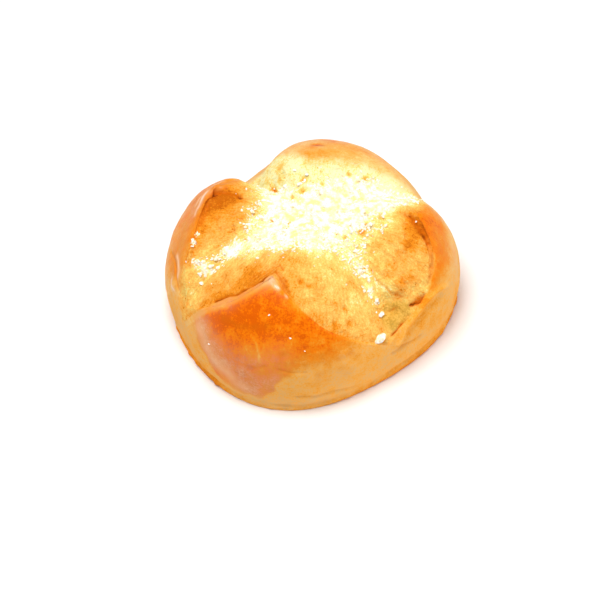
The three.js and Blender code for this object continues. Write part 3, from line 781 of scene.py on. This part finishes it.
def broad_relief(points):
    """The low relief that the whole roll shares: lumps, knobs and hollows."""
    x, y, z = points.T
    broad = np.sin(x / 7.3 + 1.1) * np.sin(y / 8.1 + z / 9.0 + 0.4)
    fine = np.sin(x / 3.7 + z / 5.0 + 2.0) * np.sin(y / 4.1 - 0.7)
    height = LUMP_HEIGHT * mix(broad, fine, LUMP_FINE) + spots(points, KNOBS)
    return height * smooth((z - FOOT_HEIGHT) / LUMP_START)


def on_relief(points):
    """Points of the smooth roll, raised by its low relief."""
    return points + broad_relief(points)[:, None] * (0.0, 0.0, 1.0)


# Where each look lies on the roll

def crust_distance(place):
    """Distance from the crust edge: positive inside the star, negative down the crust."""
    edge = place.edge
    reach = edge.waist - np.hypot(*edge.point[:, :2].T)
    arc = ARC_BULGE * np.hypot(reach, edge.point[:, 2] - WAIST_HEIGHT)
    drop, = by_row(EDGE_DROP, place.around, SECTORS)
    return np.where(place.down == 0.0, (1.0 - place.out) * place.span, -arc * place.down) + drop


def coconut_cover(place):
    """Coconut cover from 0 to 1: the heap in the star out to its uneven reach, and the clumps."""
    reach = by_half_sector(COCONUT_REACH, place) + uneven(place.points, "reach")
    cover = np.maximum(rise(reach - place.out, *HEAP_SPAN), np.minimum(1.0, spots(place.points, CLUMPS)))
    return np.where(place.down < COVER_LOWEST, cover, 0.0)


def fibre_place(place):
    """Coordinates that run slowly from the star's centre outwards, for streaks along the pull."""
    path = place.span * place.out + FIBRES["crust"] * place.down
    path = path + FIBRES["wall"] * (1.0 - np.abs(place.level))
    return round_point(place.edge.angle, FIBRES["radius"], FIBRES["stretch"] * path)


def survey(place):
    """Adds what the looks and the relief have to know about each point."""
    place.edge = crust_edge(place.around)
    place.span = np.hypot(*(place.edge.point[:, :2] - STAR_CENTRE[:2]).T)
    place.inside = crust_distance(place)
    place.cover = coconut_cover(place)
    place.fibres = fibre_place(place)
    place.lines = soft_lines(place.points, LINES)
    # darker and paler spots, with painted shade in pits and holes and painted highlights on the glaze
    place.dark = spots(place.points, BAKE_SHADE_AND_HIGHLIGHT_PATCHES)
    place.gaps = spots(place.points, HEAP_GAPS)


def crumb_mask(place):
    softness = by_half_sector(EDGE_SOFTNESS, place)
    least, more = EDGE_WANDER
    wander = (least + more * softness) * uneven(place.points, "edge_broad")
    return smooth((place.inside + wander + uneven(place.points, "edge_fine")) / softness + 0.5)


def wash_mask(place):
    """Where the egg wash was brushed on, with an uneven lower edge."""
    limit, softness = by_row(WASH_REACH, np.degrees(place.edge.angle), 360.0)
    below = place.down + WALL_SHARE * (1.0 - place.level)
    return smooth((limit - below + uneven(place.points, "wash")) / softness + 0.5)


def crust_bake(place, wash):
    """Browning of the crust: strongest below the tips, less on the rim's painted highlight and without egg
    wash.
    """
    fade = by_half_sector(CRUST_FADE, place) * rise(place.down + uneven(place.points, "fade"), *FADE_SPAN)
    width, kept = by_row(PAINTED_HIGHLIGHT_RIM, place.around, SECTORS)
    rim = mix(kept, 1.0, smooth((-place.inside - width) / RIM_SOFTNESS))
    bare = mix(by_half_sector(BARE_SHARE, place), 1.0, wash)
    return by_half_sector(CRUST_BAKE, place) * (1.0 - fade) * rim * bare + uneven(place.points, "crust")


def wall_bake_and_shade(place):
    """Browning of the wall: pale below the waist, browner low down and at the foot, partly painted shade
    there.
    """
    bake = by_half_sector(WALL_BAKE, place) * mix(HIGH_WALL_BAKE, 1.0, rise(place.level, *LOW_WALL_SPAN))
    return bake + uneven(place.points, "wall") + FOOT_BAKE_AND_SHADE * rise(place.level, *FOOT_SPAN)


def bake_mask(place, wash):
    """Browning of crust, wall and base, with pale drips and darker and paler patches, some painted shade
    and highlight.
    """
    bake = mix(crust_bake(place, wash), wall_bake_and_shade(place), rise(place.level, *WALL_SPAN))
    bake = np.where(place.level < 0.0, BASE_BAKE, bake)
    drips = sum(darkness * near for _, darkness, near in place.lines if darkness < 0.0)
    return bake + drips + place.dark


def toast_mask(place):
    """Browning of the crumb: pale in the middle of the star and at the back."""
    past = place.out - by_half_sector(COCONUT_REACH, place)
    toast = by_half_sector(CRUMB_TOAST, place) * mix(TOAST_LEAST, 1.0, rise(past, *TOAST_SPAN))
    toast = toast * mix(*OUTER_TOAST, rise(place.out, *OUTER_SPAN))
    toast += EDGE_TOAST * toast * np.exp(-np.abs(place.inside) / EDGE_TOAST_WIDTH)
    patchy = uneven(place.points, "toast") * mix(PALE_EVEN, 1.0, rise(toast, *PALE_SPAN))
    # the dark spots add painted shade in the crumb's pits and holes
    return toast + patchy + place.dark + GAP_TOAST * place.gaps


def dust_mask(place):
    """Powder of the coconut, thinner in places and missing in the heap's gaps."""
    return np.clip(place.cover * uneven(place.points, "dust") - place.gaps, 0.0, 1.0)


def crease_and_shade_mask(place):
    """Dark lines and painted shade: crease along the crust edge, folds, cracks, holes, above the foot."""
    points = place.points
    width = by_half_sector(CREASE_WIDTH, place)
    strength = by_half_sector(EDGE_CREASE_AND_SHADE, place) * smooth(uneven(points, "crease"))
    crease = strength * bell(place.inside - CREASE_INSET * width, width)
    broken = uneven(points, "fold")
    for _, darkness, near in place.lines:
        crease = np.maximum(crease, darkness * near * broken)
    foot = bell(points[:, 2] - FOOT_HEIGHT - FOOT_SHADE["above"], FOOT_SHADE["width"])
    foot = FOOT_SHADE["dark"] * foot * smooth(uneven(points, "foot")) * (place.level < 1.0)
    return np.maximum(crease, foot)


def moist_mask(place):
    return rise(spots(place.points, MOIST_POCKET) + uneven(place.points, "moist"), *MOIST_SPAN)


def painted_highlight_mask(place):
    """Painted highlights and reflections on the glaze, as pale streaks broken up by noise."""
    streaks = [amount * near for amount, near in soft_lines(place.points, PAINTED_HIGHLIGHT_LINES)]
    return np.max(streaks, axis=0) * uneven(place.points, "painted_highlight")


def patchy(place, patches):
    """Soft spots broken up by noise."""
    return spots(place.points, patches) * uneven(place.points, "patch")


def surface_masks(place):
    crumb = crumb_mask(place)
    wash = wash_mask(place)
    skin = 1.0 - crumb
    masks = dict(crumb=crumb, wash=wash * skin, bake=bake_mask(place, wash), toast=toast_mask(place),
                 # crease darkens, with painted shade in grooves, folds and holes
                 dust=dust_mask(place) * crumb, crease=crease_and_shade_mask(place), moist=moist_mask(place) * crumb,
                 # pinkish spots of painted reflection in the glaze
                 gloss=spots(place.points, GLOSS_PATCHES), painted_reflection=patchy(place, PAINTED_REFLECTION_PATCHES) * skin,
                 # pale streaks of painted highlight and reflection on the glaze
                 brown=patchy(place, BROWN_PATCHES) * skin, painted_highlight=painted_highlight_mask(place) * skin)
    return {name: np.clip(values, 0.0, 1.0) for name, values in masks.items()}


def edge_rounding(place):
    """How much the sharp crust edge is worn down near it."""
    away = np.where(place.down == 0.0, (1.0 - place.out) * place.span, CRUST_LENGTH * place.down)
    return by_half_sector(EDGE_ROUNDING, place) * bell(away, ROUNDING_WIDTH)


def fine_relief(place, masks):
    """Wrinkles of the crust, torn fibres and pits of the crumb, folds, and the grain of the dust."""
    points = place.points
    crumb = masks["crumb"]
    torn = uneven(points, "torn") + uneven(place.fibres, "fibre")
    pore = PORE_DEPTH * rise(uneven(points, "pore"), *PORE_SPAN)
    height = crumb * by_half_sector(CRUMB_ROUGHNESS, place) * (torn - pore)
    height += (1.0 - crumb) * uneven(points, "skin")
    height += masks["dust"] * uneven(points, "powder")
    height += spots(points, PITS) - GAP_DEPTH * place.gaps - edge_rounding(place)
    for depth, _, near in place.lines:
        height -= depth * near
    jagged = uneven(points, "jagged") * rise(points[:, 2], *JAGGED_SPAN)
    return (height + jagged) * rise(points[:, 2], *BASE_SPAN)


# Meshes

def new_mesh(name, points, faces, soft=True):
    mesh = bpy.data.meshes.new(name)
    corners = [tuple(map(int, face)) for face in faces]
    mesh.from_pydata([tuple(point) for point in np.asarray(points, float) * MM], [], corners)
    mesh.validate()
    mesh.polygons.foreach_set("use_smooth", np.full(len(mesh.polygons), soft))
    mesh.update()
    piece = bpy.data.objects.new(name, mesh)
    bpy.context.scene.collection.objects.link(piece)
    return piece


def read_vectors(items, name):
    values = np.empty(3 * len(items))
    items.foreach_get(name, values)
    return values.reshape(-1, 3)


def vertex_points(piece):
    return read_vectors(piece.data.vertices, "co") / MM


def set_points(piece, points):
    piece.data.vertices.foreach_set("co", np.ravel(points * MM))
    piece.data.update()


def move_along_normals(piece, height):
    normals = read_vectors(piece.data.vertex_normals, "vector")
    set_points(piece, vertex_points(piece) + normals * height[:, None])


def add_layer(piece, name, kind, field, values):
    layer = piece.data.attributes.new(name, kind, "POINT")
    layer.data.foreach_set(field, np.ravel(values).astype(np.float32))


def make_roll():
    place, count, rings = roll_surface()
    survey(place)
    masks = surface_masks(place)
    roll = new_mesh("roll_crust_and_crumb", place.points, ring_faces(count, rings))
    for height in (broad_relief(place.points), fine_relief(place, masks)):
        move_along_normals(roll, np.where(place.level < 0.0, 0.0, height))
    for name, values in masks.items():
        add_layer(roll, name, "FLOAT", "value", values)
    add_layer(roll, "fibre", "FLOAT_VECTOR", "vector", place.fibres * MM)
    cover = place.cover * by_half_sector(GRAIN_SHARE, place)
    return roll, cover, masks["crumb"]


def base_shift(roll):
    """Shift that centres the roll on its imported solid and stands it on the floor."""
    low, high = (np.array(corner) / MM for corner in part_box(NODE))
    points = vertex_points(roll)
    middle = (points.min(axis=0) + points.max(axis=0)) / 2.0
    shift = (low + high) / 2.0 - middle
    shift[2] = low[2] - points[:, 2].min()
    return shift


# Coconut

def icosahedron():
    """Corners on a unit ball, and the twenty faces that join neighbours, seen from outside."""
    g = (1.0 + math.sqrt(5.0)) / 2.0
    corners = np.array([(-1.0, g, 0.0), (1.0, g, 0.0), (-1.0, -g, 0.0), (1.0, -g, 0.0)])
    points = np.concatenate([np.roll(corners, k, axis=1) for k in range(3)])
    faces = []
    for a, b, c in combinations(range(len(points)), 3):
        if max(np.linalg.norm(points[[a, b, c]] - points[[b, c, a]], axis=1)) < g + 1.0:
            faces.append((a, b, c) if np.linalg.det(points[[a, b, c]]) > 0.0 else (a, c, b))
    return points / math.hypot(1.0, g), np.array(faces)


def turn(points, angles):
    """Turns points about X, then Y, then Z."""
    return points @ np.array(Euler(angles).to_matrix()).T


def join_lumps(name, lumps, faces):
    """One mesh of many lumps whose faces are alike."""
    joined = [faces + index * len(lump) for index, lump in enumerate(lumps)]
    return new_mesh(name, np.concatenate(lumps), np.concatenate(joined), soft=False)


def place_in_star(x, y):
    towards = math.atan2(y - STAR_CENTRE[1], x - STAR_CENTRE[0])
    around = np.arange(0.0, SECTORS, 0.01)
    reach = crust_edge(around).point[:, :2] - STAR_CENTRE[:2]
    turned = np.arctan2(reach[:, 1], reach[:, 0]) - towards
    best = np.argmin(np.abs(np.arctan2(np.sin(turned), np.cos(turned))))
    return math.hypot(x - STAR_CENTRE[0], y - STAR_CENTRE[1]) / np.hypot(*reach[best]), around[best]


def trail_shreds(valley, start, stop, side, count, length):
    """Shreds along one valley: out, around, length and no set direction of each."""
    for k in range(count):
        around = 2 * valley + 1 + side + TRAIL_WANDER * (scatter(k, valley) - 0.5)
        yield mix(start, stop, (k + 0.5) / count), around, length * mix(*TRAIL_LENGTHS, scatter(k, 5)), None


def heap_shreds(x, y, wide, deep, count, length):
    """Shreds of the heap, on a spiral that fills it evenly."""
    for k in range(count):
        share = math.sqrt((k + 0.5) / count)
        right = wide * share * math.cos(k * GOLDEN_ANGLE)
        back = deep * share * math.sin(k * GOLDEN_ANGLE)
        out, around = place_in_star(x + right, y + back)
        if out < HEAP_EDGE:
            yield out, around, mix(*length, scatter(k, 9)), None


def shreds_apart():
    """Middle, length and any set direction of each shred that lies clear of every larger one."""
    shreds = list(LARGE_SHREDS)
    for trail in TRAILS:
        shreds += trail_shreds(**trail)
    shreds += heap_shreds(**SHRED_HEAP)
    kept = []
    for out, around, length, turned in sorted(shreds, key=lambda shred: -shred[2]):
        middle, = on_relief(surface_points("star", out, around))
        gaps = [np.linalg.norm(other - middle) / (size + length) for other, size, _ in kept]
        if all(gap > SHRED_SPACING for gap in gaps):
            kept.append((middle, length, turned))
    return kept


def split_faces(points, faces):
    """Each triangle becomes four, with the new corners on the edges."""
    edges = {}
    points = list(points)

    def halfway(a, b):
        key = (min(a, b), max(a, b))
        if key not in edges:
            edges[key] = len(points)
            points.append((points[a] + points[b]) / 2.0)
        return edges[key]

    split = []
    for a, b, c in faces:
        ab, bc, ca = halfway(a, b), halfway(b, c), halfway(c, a)
        split += [(a, ab, ca), (ab, b, bc), (ca, bc, c), (ab, bc, ca)]
    return np.array(points), np.array(split)


def make_shreds():
    """Torn shreds: flattened lumps with uneven corners, lying askew and half sunk."""
    points, faces = icosahedron()
    lumps = []
    for index, (middle, length, turned) in enumerate(shreds_apart()):
        swell = np.array([mix(*SHRED_SWELL, scatter(k, index)) for k in range(len(points))])
        lump, split = split_faces(points * swell[:, None], faces)
        lump = lump * (1.0 + SHRED_UNEVEN * value_noise(lump + index, SHRED_LUMP, 3)[:, None])
        lump = lump * np.array([1.0, SHRED_WIDTH, SHRED_THICKNESS]) * length / 2.0
        yaw = 180.0 * scatter(index, 3) if turned is None else turned
        tilts = [mix(-most, most, scatter(index, k + 1)) for k, most in enumerate(SHRED_TILT)]
        lumps.append(turn(lump, (*tilts, math.radians(yaw))) + middle + (0.0, 0.0, SHRED_STAND * length))
    return join_lumps("coconut_shreds", lumps, split)


def face_corners(mesh):
    mesh.calc_loop_triangles()
    corners = np.empty(3 * len(mesh.loop_triangles), int)
    mesh.loop_triangles.foreach_get("vertices", corners)
    return corners.reshape(-1, 3)


def grain_places(draw, roll, cover, crumb):
    """Points strewn over the roll where the coconut lies, thinning out at the edges."""
    points = vertex_points(roll)
    corners = face_corners(roll.data)
    a, b, c = (points[corners[:, k]] for k in range(3))
    area = np.linalg.norm(np.cross(b - a, c - a), axis=1) / 2.0
    cluster = smooth(uneven(points, "cluster"))
    late, inside = GRAIN_THINNING
    thick = (cover ** late * (1.0 - inside * cover) * cluster + GRAIN_STRAY) * crumb
    thick = thick * (points[:, 2] > GRAIN_LOWEST)
    weight = area * thick[corners].mean(axis=1)
    chosen = draw.choice(len(corners), GRAIN_COUNT, p=weight / weight.sum())
    shares = draw.dirichlet((1.0, 1.0, 1.0), GRAIN_COUNT)
    return (points[corners[chosen]] * shares[:, :, None]).sum(axis=1)


def make_grains(roll, cover, crumb):
    """Fine coconut: the strewn grains, and single specks on the crust."""
    draw = np.random.default_rng(GRAIN_SEED)
    strewn = grain_places(draw, roll, cover, crumb)
    specks = [surface_points(zone, share / 100.0, around) for zone, share, around in SPECKS]
    specks = on_relief(np.concatenate(specks))
    lump, faces = icosahedron()
    tilt = np.array([GRAIN_TILT, GRAIN_TILT, 0.0])
    lumps = []
    for index, middle in enumerate(np.concatenate([specks, strewn])):
        length = SPECK_LENGTH
        if index >= len(specks):
            length = mix(*GRAIN_LENGTH, draw.random() ** GRAIN_SMALLNESS)
        swell = draw.uniform(*GRAIN_SWELL, len(lump))
        grain = lump * swell[:, None] * (1.0, draw.uniform(*GRAIN_WIDTH), draw.uniform(*GRAIN_THICKNESS))
        grain = turn(grain * length / 2.0, draw.uniform(-tilt, tilt + (0.0, 0.0, math.pi)))
        lumps.append(grain + middle + (0.0, 0.0, GRAIN_STAND * length))
    return join_lumps("coconut_grains", lumps, faces)


# Materials

class Nodes:
    """Short calls for building one material's node tree."""

    def __init__(self, name):
        self.material = bpy.data.materials.new(name)
        self.material.use_nodes = True
        self.tree = self.material.node_tree
        self.place = self.add("TexCoord").outputs["Object"]

    def add(self, kind, inputs=None, **settings):
        node = self.tree.nodes.new("ShaderNode" + kind)
        for name, value in settings.items():
            setattr(node, name, value)
        self.feed(node, inputs or {})
        return node

    def feed(self, node, inputs):
        """Gives a node's sockets their numbers, their colours or the outputs that they follow."""
        for name, value in inputs.items():
            if isinstance(value, (int, float)):
                node.inputs[name].default_value = value
            elif isinstance(value, tuple):
                node.inputs[name].default_value = (*value, 1.0)
            else:
                self.tree.links.new(value, node.inputs[name])

    def finish(self, inputs):
        self.feed(self.tree.nodes["Principled BSDF"], inputs)
        return self.material

    def mask(self, name, output="Fac"):
        return self.add("Attribute", attribute_name=name).outputs[output]

    def noise(self, size, detail=2.0, roughness=0.5, place=None):
        """Noise around zero with lumps of the given size in millimetres."""
        node = self.add("TexNoise", {"Vector": place or self.place, "Scale": 1.0 / (size * MM),
                                     "Detail": detail, "Roughness": roughness})
        return self.math("SUBTRACT", node.outputs["Fac"], 0.5)

    def math(self, operation, a, b=0.0, hold=False):
        node = self.add("Math", {0: a, 1: b}, operation=operation, use_clamp=hold)
        return node.outputs["Value"]

    def times(self, a, b):
        return self.math("MULTIPLY", a, b)

    def total(self, *parts):
        """Sum of values, each given alone or with the factor that it counts by."""
        whole = None
        for part in parts:
            value = self.times(*part) if isinstance(part, tuple) else part
            whole = value if whole is None else self.math("ADD", whole, value)
        return whole

    def spread(self, value, low, high, to_low=0.0, to_high=1.0):
        ends = {"Value": value, "From Min": low, "From Max": high, "To Min": to_low, "To Max": to_high}
        return self.add("MapRange", ends, interpolation_type="SMOOTHSTEP").outputs["Result"]

    def blend(self, share, a, b):
        return self.add("Mix", {"Factor": share, "A": a, "B": b}, data_type="RGBA").outputs["Result"]

    def ramp(self, value, stops):
        node = self.add("ValToRGB", {"Fac": value})
        elements = node.color_ramp.elements
        while len(elements) < len(stops):
            elements.new(0.5)
        for element, (position, colour) in zip(elements, stops):
            element.position = position
            element.color = (*colour, 1.0)
        return node.outputs["Color"]

    def bump(self, height, depth, strength):
        node = self.add("Bump", {"Height": height, "Distance": depth * MM, "Strength": strength})
        return node.outputs["Normal"]


class BreadNodes(Nodes):
    """The fine noises that the parts of the bread's colour share, with dark dots of painted shade in pores.
    """

    def __init__(self, name):
        super().__init__(name)
        self.noises = {name: self.noise(*row) for name, row in FINE_NOISES.items()}
        cells = self.add("TexVoronoi", {"Vector": self.place, "Scale": 1.0 / (PORE_SHADE_SIZE * MM)})
        pore_shade = self.spread(cells.outputs["Distance"], *PORE_SHADE_SPAN)
        self.noises["streak"] = self.noise(*STREAKS, self.mask("fibre", "Vector"))
        # Dark dots of painted shade in the pores
        self.noises["pore"] = self.times(pore_shade, self.spread(self.noises["mottle"], *PITTED_MOTTLE))
        self.noises["even"] = 1.0

    def weigh(self, part):
        return self.total(*((self.noises[name], weight) for name, weight in WEIGHTS[part].items()))

    def hairlines(self, size):
        """Thin winding lines, broken up so that only some stretches of them show."""
        line = self.spread(self.math("ABSOLUTE", self.noise(size, 1.0)), *HAIRLINE)
        return self.times(line, self.spread(self.noise(1.3 * size, 0.0), *HAIRLINE_BREAKS))

    def wrinkles(self, rows):
        return self.total(*((self.hairlines(size), weight) for size, weight in rows))


def washed_colour(nodes):
    """Egg-washed crust, stained by the oven, browned in places, with painted reflection and painted
    highlight.
    """
    bake = nodes.mask("bake")
    stain = nodes.total(nodes.weigh("stain"), nodes.wrinkles(CRUST_WRINKLES))
    stain = nodes.times(stain, nodes.spread(bake, *STAINED_BAKE))
    colour = nodes.ramp(nodes.total(bake, stain), WASH_STOPS)
    # Pinkish spots that paint the pale room's reflection in the glaze
    painted_reflection = nodes.math("MULTIPLY", nodes.mask("painted_reflection"), nodes.weigh("painted_reflection"), hold=True)
    colour = nodes.blend(painted_reflection, colour, nodes.ramp(nodes.weigh("painted_reflection_tone"), PAINTED_REFLECTION_STOPS))
    colour = nodes.blend(nodes.times(nodes.mask("brown"), BROWN_MOST), colour, BROWN_COLOUR)
    # Pale streaks that paint highlights and reflections on the glaze
    painted_highlight = nodes.mask("painted_highlight")
    return nodes.blend(painted_highlight, colour, nodes.ramp(painted_highlight, PAINTED_HIGHLIGHT_STOPS))


def crumb_colour(nodes):
    """Torn crumb, wrinkled where it is toasted."""
    toast = nodes.mask("toast")
    wrinkle = nodes.times(nodes.wrinkles(CRUMB_WRINKLES), nodes.spread(toast, *WRINKLED_TOAST))
    return nodes.ramp(nodes.total(toast, nodes.weigh("torn"), wrinkle), CRUMB_STOPS)


def powdered(nodes, colour):
    """A colour with the coconut's powder over it."""
    dust = nodes.mask("dust")
    powder = nodes.spread(nodes.total(dust, nodes.weigh("powder")), *POWDER_SPAN)
    share = nodes.times(powder, nodes.spread(dust, *DUST_SPAN))
    return nodes.blend(share, colour, nodes.ramp(nodes.weigh("flake"), DUST_STOPS))


def bread_colour(nodes):
    """Bare wall, egg-washed crust and toasted crumb, then moist, creased and powdered places."""
    bare = nodes.ramp(nodes.total(nodes.mask("bake"), nodes.weigh("bare")), WALL_STOPS)
    colour = nodes.blend(nodes.mask("wash"), bare, washed_colour(nodes))
    colour = nodes.blend(nodes.mask("crumb"), colour, crumb_colour(nodes))
    moist = nodes.times(nodes.mask("moist"), MOIST_MOST)
    colour = nodes.blend(moist, colour, nodes.ramp(nodes.weigh("moist"), MOIST_STOPS))
    # Creases darken, and in grooves, folds and holes the darkness is painted shade
    crease = nodes.mask("crease")
    colour = nodes.blend(nodes.spread(crease, *CREASE_SPAN), colour, nodes.ramp(crease, CREASE_AND_SHADE_STOPS))
    return powdered(nodes, colour)


def bread_material():
    nodes = BreadNodes("baked_bread")
    wash = nodes.mask("wash")
    crumb = nodes.mask("crumb")
    matt = nodes.spread(wash, 0.0, 1.0, 0.68, 0.33)
    skin = nodes.total(nodes.noise(1.1, 3.0, 0.55), (nodes.noise(0.40, 1.0), 0.50))
    skin = nodes.times(skin, nodes.spread(crumb, 0.0, 1.0, 0.25, 1.0))
    skin = nodes.times(skin, nodes.spread(nodes.mask("dust"), 0.0, 1.0, 1.0, 0.35))
    return nodes.finish({
        "Base Color": bread_colour(nodes),
        "Roughness": nodes.total(matt, (crumb, 0.12), (nodes.noises["mottle"], 0.20)),
        "Specular IOR Level": 0.03,
        "Coat Weight": nodes.total((wash, 0.05), (nodes.mask("gloss"), 0.40)),
        "Coat Roughness": 0.22,
        "Normal": nodes.bump(skin, 0.70, 0.8),
    })


def coconut_material():
    nodes = Nodes("dry_coconut")
    tint = nodes.total((nodes.noise(1.4), 1.4), (1.0, 0.5))
    return nodes.finish({
        "Base Color": nodes.ramp(tint, COCONUT_STOPS),
        "Roughness": 0.65,
        "Specular IOR Level": 0.3,
        "Normal": nodes.bump(nodes.noise(0.3), 0.12, 0.7),
    })


def floor_material():
    nodes = Nodes("pale_floor")
    shade = nodes.total(nodes.noise(60.0), (1.0, 0.5))
    return nodes.finish({
        "Base Color": nodes.ramp(shade, FLOOR_STOPS),
        "Roughness": 0.9,
        "Specular IOR Level": 0.1,
    })


# Stage, light and camera

def make_floor():
    corners = FLOOR_HALF * np.array([(-1, -1, 0), (1, -1, 0), (1, 1, 0), (-1, 1, 0)], float)
    floor = new_mesh("floor", corners, [(0, 1, 2, 3)])
    floor.data.materials.append(floor_material())


def add_panel(name, place, size, power):
    light = bpy.data.lights.new(name, "AREA")
    light.shape = "SQUARE"
    light.size = size
    light.energy = power
    lamp = bpy.data.objects.new(name, light)
    lamp.location = place
    lamp.rotation_euler = (Vector(LIGHT_AIM) - Vector(place)).to_track_quat("-Z", "Y").to_euler()
    bpy.context.scene.collection.objects.link(lamp)


def make_light():
    world = bpy.data.worlds.new("white_room")
    world.use_nodes = True
    room = world.node_tree.nodes["Background"]
    room.inputs["Color"].default_value = (1.0, 1.0, 1.0, 1.0)
    room.inputs["Strength"].default_value = ROOM_LIGHT
    bpy.context.scene.world = world
    for panel in PANELS:
        add_panel(*panel)
    bpy.context.scene.view_settings.view_transform = "Standard"
    bpy.context.scene.view_settings.look = "None"


def make_camera(shift):
    data = bpy.data.cameras.new("camera")
    data.sensor_width = SENSOR
    data.lens = FOCAL_PIXELS / IMAGE_PIXELS * SENSOR
    tip = Matrix.Rotation(math.radians(90.0 - VIEW_ELEVATION), 3, "X")
    turned = tip @ Matrix.Rotation(math.radians(-VIEW_ROLL), 3, "Z")
    aside = (IMAGE_PIXELS / 2.0 - ROLL_PIXEL[0], ROLL_PIXEL[1] - IMAGE_PIXELS / 2.0, FOCAL_PIXELS)
    camera = bpy.data.objects.new("camera", data)
    camera.location = turned @ Vector(aside) * (VIEW_DISTANCE / FOCAL_PIXELS)
    camera.location += Vector((shift[0] * MM, shift[1] * MM, VIEW_HEIGHT))
    camera.rotation_euler = turned.to_euler()
    bpy.context.scene.collection.objects.link(camera)
    bpy.context.scene.camera = camera


def dress(piece, material, shift):
    set_points(piece, vertex_points(piece) + shift)
    piece.data.materials.append(material)
    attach(piece, BODY)


roll, cover, crumb = make_roll()
shreds = make_shreds()
grains = make_grains(roll, cover, crumb)
shift = base_shift(roll)
coconut = coconut_material()
dress(roll, bread_material(), shift)
dress(shreds, coconut, shift)
dress(grains, coconut, shift)
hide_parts(NODE)
make_floor()
make_light()
make_camera(shift)
